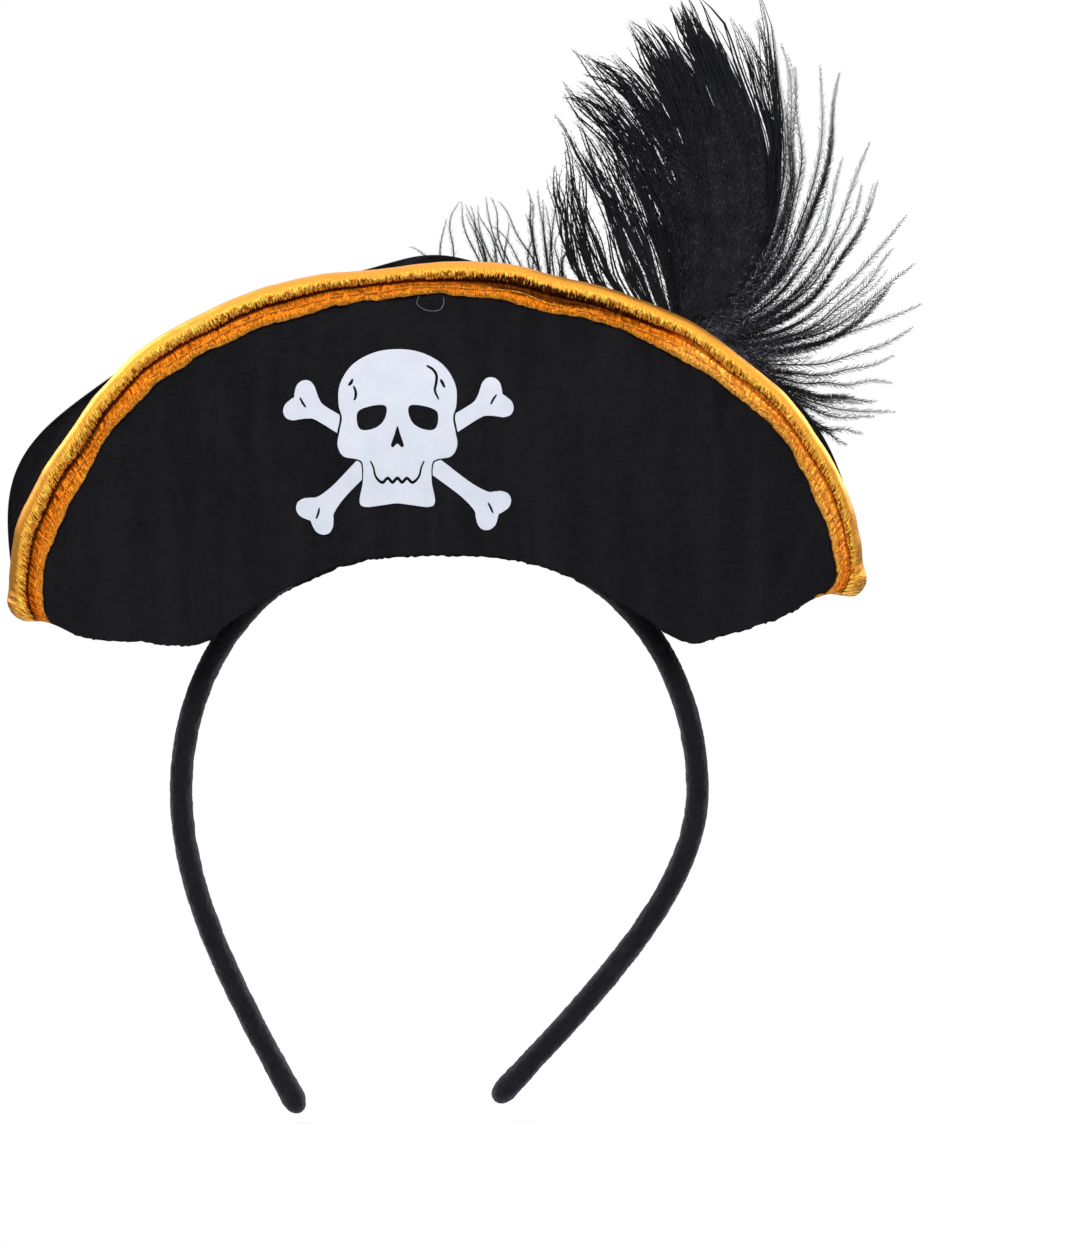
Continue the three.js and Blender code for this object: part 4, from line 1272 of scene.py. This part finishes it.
def rippled(barbs, rng, height):
    """Each barb with its own slow ripple, across its run."""
    t = np.linspace(0, 1, barbs.shape[1])[None]
    phase = rng.uniform(0, 2 * np.pi, (len(barbs), 1))
    turns = rng.uniform(1.5, 3.5, (len(barbs), 1))
    ripple = np.sin(phase + 2 * np.pi * turns * t) * t * height * rng.uniform(0.3, 1.0, (len(barbs), 1))
    tangent = tangents(barbs)
    side = np.stack([-tangent[..., 2], tangent[..., 1] * 0, tangent[..., 0]], -1)
    return barbs + side * ripple[..., None]


def locks(guides, rng, root, middle, size, spread, loose):
    """Barbs in locks that run from places round the roots to middles between the guides' tips.

    Those of one lock bend together and meet in one spike.
    """
    last = len(guides) - 1.001
    t = np.linspace(0, 1, DENSE_POINTS)[None, :, None]
    fanned = smoothstep(0.3, 0.85, t)
    ends = between(guides, middle, DENSE_POINTS)
    centre = between(guides, root, DENSE_POINTS) * (1 - fanned) + ends * fanned
    bent = rippled(wandering(centre, rng, 1.3 * loose, 0.9), rng, 0.8 * loose)
    bent = np.repeat(bent, size, axis=0)
    at = np.clip(np.repeat(middle, size) + rng.normal(0, spread, len(bent)), 0, last)
    apart = between(guides, at, DENSE_POINTS) - np.repeat(ends, size, axis=0)
    own = rippled(wandering(bent, rng, 0.5 * loose, 0.4), rng, 0.4 * loose) + apart
    return bent + (own - bent) * (1 - smoothstep(0.88, 1.0, t))


def dense_vane(rng):
    """The drooping side: locks that end in spikes over a thick core, with their down between them."""
    last = len(INNER_GUIDES) - 1.001
    guides = INNER_GUIDES + OUTER_GUIDES[:3]
    LEFT_SIZE = 3  # barbs in one lock at the left
    RIGHT_SIZE = 4  # and at the right
    CORE = 110  # barbs in the core
    FRONT_BARBS = 110  # and unseen ones that carry the down in front of it

    # At the lower left the locks are gathered, with light between them. They fan out to fill the edge above.
    # A few looser ones leave the right edge ragged.
    gathers = np.repeat(np.arange(10), [5, 5, 5, 6, 9, 12, 14, 14, 14, 14])
    root = 0.8 * gathers + rng.normal(0, 0.07, len(gathers))
    tip = root + rng.normal(0, 0.1 + 0.09 * gathers)
    filling = rng.uniform(6.6, last, 84)
    ragged = rng.uniform(last, last + 2.5, 12)
    right = np.concatenate([filling, ragged])
    count = len(root) + len(right)
    reach = rng.choice([0.66, 0.8, 0.88, 0.95, 1.01], count) + rng.uniform(-0.03, 0.01, count)
    left_barbs = locks(guides, rng, np.clip(root, 0, last), np.clip(tip, 0, last), LEFT_SIZE, 0.12, 1.3)
    right_barbs = locks(guides, rng, right, right, RIGHT_SIZE, 0.14, 1.0)
    sizes = np.repeat([LEFT_SIZE, RIGHT_SIZE], [len(root), len(right)])
    barbs = shortened(np.vstack([left_barbs, right_barbs]), np.repeat(reach, sizes))
    core = wandering(between(INNER_GUIDES, rng.uniform(7.2, last, CORE), DENSE_POINTS), rng, 0.9, 0.8)
    core = shortened(core + [0, 1.4, 0], rng.uniform(0.6, 0.88, CORE))
    width = np.concatenate([
        rng.uniform(0.10, 0.20, len(left_barbs)),
        rng.uniform(0.15, 0.26, len(filling) * RIGHT_SIZE),
        rng.uniform(0.10, 0.16, len(ragged) * RIGHT_SIZE),
    ])
    hairs("plume_inner_vane", FEATHER_LOOK, stems(barbs, width, 4, 12), stems(core, 0.34, 4, 4),
          nodes=["plume_inner_vane"])
    hairs("plume_inner_down", FEATHER_LOOK,
          barbules(barbs[:len(left_barbs)], rng, 1.05, 2.0, 0.6, 0.06, 0.05),
          barbules(barbs[len(left_barbs)::3], rng, 1.1, 2.0, 0.6, 0.06, 0.05))

    # Down that stands off the front of the locks, painted lighter as sheen, with a few pale flecks as
    # painted glints.
    at = rng.triangular(4.5, 8.5, last, FRONT_BARBS)
    front = rippled(wandering(between(INNER_GUIDES, at, DENSE_POINTS), rng, 1.6, 0.5), rng, 1.0)
    front = shortened(front, rng.uniform(0.5, 0.85, FRONT_BARBS)) - [0, 2.3, 0]
    hairs("plume_inner_gleam", PAINTED_SHEEN_LOOK, barbules(front, rng, 0.8, 2.4, 0.45, 0.045, 0.05))
    hairs("plume_inner_flecks", PAINTED_GLINT_LOOK, barbules(front[::4], rng, 2.6, 1.0, 0.8, 0.035, 0.2))


def open_vane(rng):
    """The other side: separate barbs, each with shorter ones beside it, thick with down near their roots."""
    ROOTS = 200  # short barbs round the roots
    FUR = 90  # and unseen ones that carry the fur in front of them
    main = np.array([guide_curve(guide, OPEN_POINTS) for guide in OUTER_GUIDES])
    main = rippled(wandering(main, rng, 0.5, 0.4), rng, 0.6)
    beside = rippled(wandering(np.repeat(main, 4, axis=0), rng, 0.9, 0.8), rng, 0.6)
    thick = rippled(wandering(np.repeat(main[[3, 6, 10, 14, 19]], 5, axis=0), rng, 0.4, 0.5), rng, 0.5)
    reach = np.concatenate([rng.uniform(0.3, 0.9, len(beside)), rng.uniform(0.8, 1.0, len(thick))])
    beside = shortened(np.vstack([beside, thick]), reach)
    fan = [INNER_GUIDES[-1]] + OUTER_GUIDES
    at = rng.uniform(0, len(OUTER_GUIDES), ROOTS)
    roots = wandering(between(fan, at, OPEN_POINTS), rng, 0.8, 0.9)
    roots = shortened(roots, rng.uniform(0.1, 0.6, ROOTS)) - [0.8, 0, 0.8]
    hairs("plume_outer_vane", FEATHER_LOOK, stems(main, 0.16, 4, 2.2),
          stems(beside, rng.uniform(0.07, 0.14, len(beside)), 3, 5), stems(roots, 0.1),
          barbules(main, rng, 0.22, 2.1, 0.6, 0.07, 0.06), nodes=["plume_outer_vane"])
    hairs("plume_outer_down", FEATHER_LOOK, barbules(beside, rng, 0.32, 1.8, 0.65, 0.065, 0.05),
          barbules(roots, rng, 0.75, 2.0, 0.8, 0.06, 0.05))

    # Fur in front of the roots, in the lighter copy that stands for sheen, with pale flecks as painted
    # glints.
    at = rng.uniform(0, len(OUTER_GUIDES) - 4, FUR)
    fur = wandering(between(fan, at, OPEN_POINTS), rng, 0.8, 0.4)
    fur = shortened(fur, rng.uniform(0.12, 0.5, FUR)) - [0.6, 1.6, 0.6]
    hairs("plume_fur", PAINTED_SHEEN_LOOK, barbules(fur, rng, 0.6, 2.2, 0.7, 0.05, 0.0))
    hairs("plume_fur_flecks", PAINTED_GLINT_LOOK, barbules(fur[::2], rng, 1.1, 1.8, 0.7, 0.045, 0.0))


def wisp_line(guide):
    """A trailing barb: from the quill along the crown's seam, then up past the top of the hat."""
    x, z = guide[0]
    behind = 1.6  # how much further back it runs than the other barbs
    flat = bezier(QUILL_START, (38, 44), (x + 6, z + 0.5), (x, z), 12)[:-1]
    y = np.linspace(QUILL_Y, QUILL_Y + behind, len(flat))
    root = np.stack([flat[:, 0], y, flat[:, 1]], -1)
    return np.vstack([root, guide_curve(guide, 14) + [0, behind, 0]])


def wisps(rng):
    """The trailing barbs, each but the last with a shorter one beside it."""
    lines = np.array([wisp_line(guide) for guide in WISPS])
    extra = shortened(lines[:-1], rng.uniform(0.88, 0.97, len(lines) - 1))
    every = rippled(np.vstack([lines, wandering(extra, rng, 1.1, 0.6)]), rng, 0.9)
    down = barbules(every, rng, 0.25, 2.2, 0.5, 0.05, 0.62)
    hairs("plume_wisps", FEATHER_LOOK, stems(every, 0.15, 4, 5), down)


def plume():
    """The two vanes and the trailing barbs, then the quill and its glued foot."""
    rng = np.random.default_rng(7)
    dense_vane(rng)
    open_vane(rng)
    wisps(rng)
    quill = catmull([
        (45, QUILL_Y, 40.5), (51, 6.9, 47), (57, 7.5, 55), (62, 8.4, 65), (61.5, 9.4, 76), (56, 10.3, 86),
    ])
    thinning = np.linspace(0.9, 0.15, len(quill))
    piece("plume_quill", *thread(quill, thinning, 12), QUILL_LOOK, "plume", ["plume_quill"], "quill")
    foot = catmull([(34, 10.6, 30), (39, 8.7, 34.5), (45, 6.25, 40.4)])
    on_hat("plume_quill_foot", thread(foot, 0.92, 12), QUILL_LOOK, "quill")


# ---------------------------------------------------------------- carried-over CAD nodes


def dress_cad():
    """Looks for the pieces that are shown as the CAD made them."""
    looks = {"band_core_crown": PLASTIC_LOOK, "band_core_left": PLASTIC_LOOK, "band_core_right": PLASTIC_LOOK,
             "base_felt": FELT_LOOK, "glue_pad_left": GLUE_LOOK, "glue_pad_right": GLUE_LOOK}
    for name, look in looks.items():
        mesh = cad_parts[name].data
        mesh.materials.clear()
        mesh.materials.append(look)


# ---------------------------------------------------------------- floor, light and camera


def plain_floor():
    """A pale floor that takes the hat's shadow near it and runs out to plain white further off."""
    SIZE = 3.0
    NEAR = 0.12  # where it starts to fade to white
    FAR = 0.32  # and where it is all white
    low_z = cad_bounds[0][2] - 0.0015
    mesh = bpy.data.meshes.new("floor")
    corners = [(-SIZE, -SIZE, low_z), (SIZE, -SIZE, low_z), (SIZE, SIZE, low_z), (-SIZE, SIZE, low_z)]
    mesh.from_pydata(corners, [], [(0, 1, 2, 3)])
    obj = bpy.data.objects.new("floor", mesh)
    bpy.context.scene.collection.objects.link(obj)
    m = Look("pale_floor")
    m.feed(Base_Color=m.ramp(m.noise(6, 2), [(0.3, (0.9, 0.9, 0.9)), (0.7, (0.93, 0.93, 0.93))]))
    m.values(Roughness=0.95, Specular_IOR_Level=0.0)
    white = m.add("ShaderNodeEmission")
    seen = m.add("ShaderNodeLightPath").outputs["Is Camera Ray"]
    m.link(m.span(seen, 0.15, 1.0, 0, 1), white.inputs["Strength"])
    distance = m.add("ShaderNodeVectorMath", operation="LENGTH")
    m.link(m.place, distance.inputs[0])
    mix = m.add("ShaderNodeMixShader")
    m.link(m.span(distance.outputs["Value"], 0, 1, NEAR, FAR), mix.inputs["Fac"])
    m.link(m.shader.outputs["BSDF"], mix.inputs[1])
    m.link(white.outputs["Emission"], mix.inputs[2])
    m.link(mix.outputs["Shader"], m.tree.nodes["Material Output"].inputs["Surface"])
    mesh.materials.append(m.material)


def studio_world():
    """Plain white behind the hat. What lights it is brighter from above than from the sides."""
    world = bpy.data.worlds.new("studio")
    bpy.context.scene.world = world
    world.use_nodes = True
    world.node_tree.nodes.clear()
    t = Tree(world.node_tree)
    place = t.add("ShaderNodeTexCoord").outputs["Generated"]
    split = t.add("ShaderNodeSeparateXYZ")
    t.link(place, split.inputs["Vector"])
    levels = [(0.0, 0.25), (0.46, 0.05), (0.56, 0.10), (0.68, 0.75), (0.8, 1.1), (1.0, 1.1)]
    greys = [(at, (level, level, level)) for at, level in levels]
    lit = t.add("ShaderNodeBackground")
    lit.inputs["Strength"].default_value = 0.9
    t.link(t.ramp(t.span(split.outputs["Z"], 0, 1, -1, 1), greys), lit.inputs["Color"])
    seen = t.add("ShaderNodeBackground")
    seen.inputs["Color"].default_value = (1, 1, 1, 1)
    mix = t.add("ShaderNodeMixShader")
    t.link(t.add("ShaderNodeLightPath").outputs["Is Camera Ray"], mix.inputs["Fac"])
    t.link(lit.outputs["Background"], mix.inputs[1])
    t.link(seen.outputs["Background"], mix.inputs[2])
    t.link(mix.outputs["Shader"], t.add("ShaderNodeOutputWorld").inputs["Surface"])


def area_light(name, at, size, power):
    """A square light in metres and watts that faces the hat."""
    data = bpy.data.lights.new(name, "AREA")
    data.size = size
    data.energy = power
    obj = bpy.data.objects.new(name, data)
    obj.location = at
    obj.rotation_euler = (-Vector(at)).to_track_quat("-Z", "Y").to_euler()
    bpy.context.scene.collection.objects.link(obj)


def camera():
    """A long lens straight in front of the hat."""
    DISTANCE = 1.6
    MEASURED_AT = 0.006  # in front of the hat's middle plane, as far as the tips of its front brim are
    FRAME_HIGH = 0.2336  # metres seen from top to bottom there
    SENSOR = 24
    AIM = Vector((0.0177, 0, -0.0137))
    data = bpy.data.cameras.new("camera")
    data.sensor_fit = "VERTICAL"
    data.sensor_height = SENSOR
    data.lens = SENSOR * (DISTANCE - MEASURED_AT) / FRAME_HIGH
    data.clip_start = 0.05
    data.clip_end = 20
    obj = bpy.data.objects.new("camera", data)
    obj.location = AIM + Vector((0, -DISTANCE, 0))
    obj.rotation_euler = (math.radians(90), 0, 0)
    bpy.context.scene.collection.objects.link(obj)
    bpy.context.scene.camera = obj


def studio():
    """The floor, the light and the camera."""
    bpy.context.scene.view_settings.view_transform = "Standard"
    bpy.context.scene.view_settings.look = "None"
    plain_floor()
    studio_world()
    area_light("key", (-0.45, -0.95, 0.8), 0.5, 9)
    area_light("fill", (0.8, -0.85, 0.5), 0.5, 3.5)
    area_light("rim_left", (-0.6, 0.5, 0.5), 0.4, 3)
    area_light("rim_right", (0.6, 0.6, 0.4), 0.4, 3)
    camera()


# ---------------------------------------------------------------- the whole scene

for each_brim in (FRONT, BACK):
    brim_sheets(each_brim)
    binding(each_brim)
    sewing(each_brim)
loose_thread()
crown()
stuffing()
sleeve(-1, "left")
sleeve(1, "right")
emblem()
plume()
dress_cad()
studio()
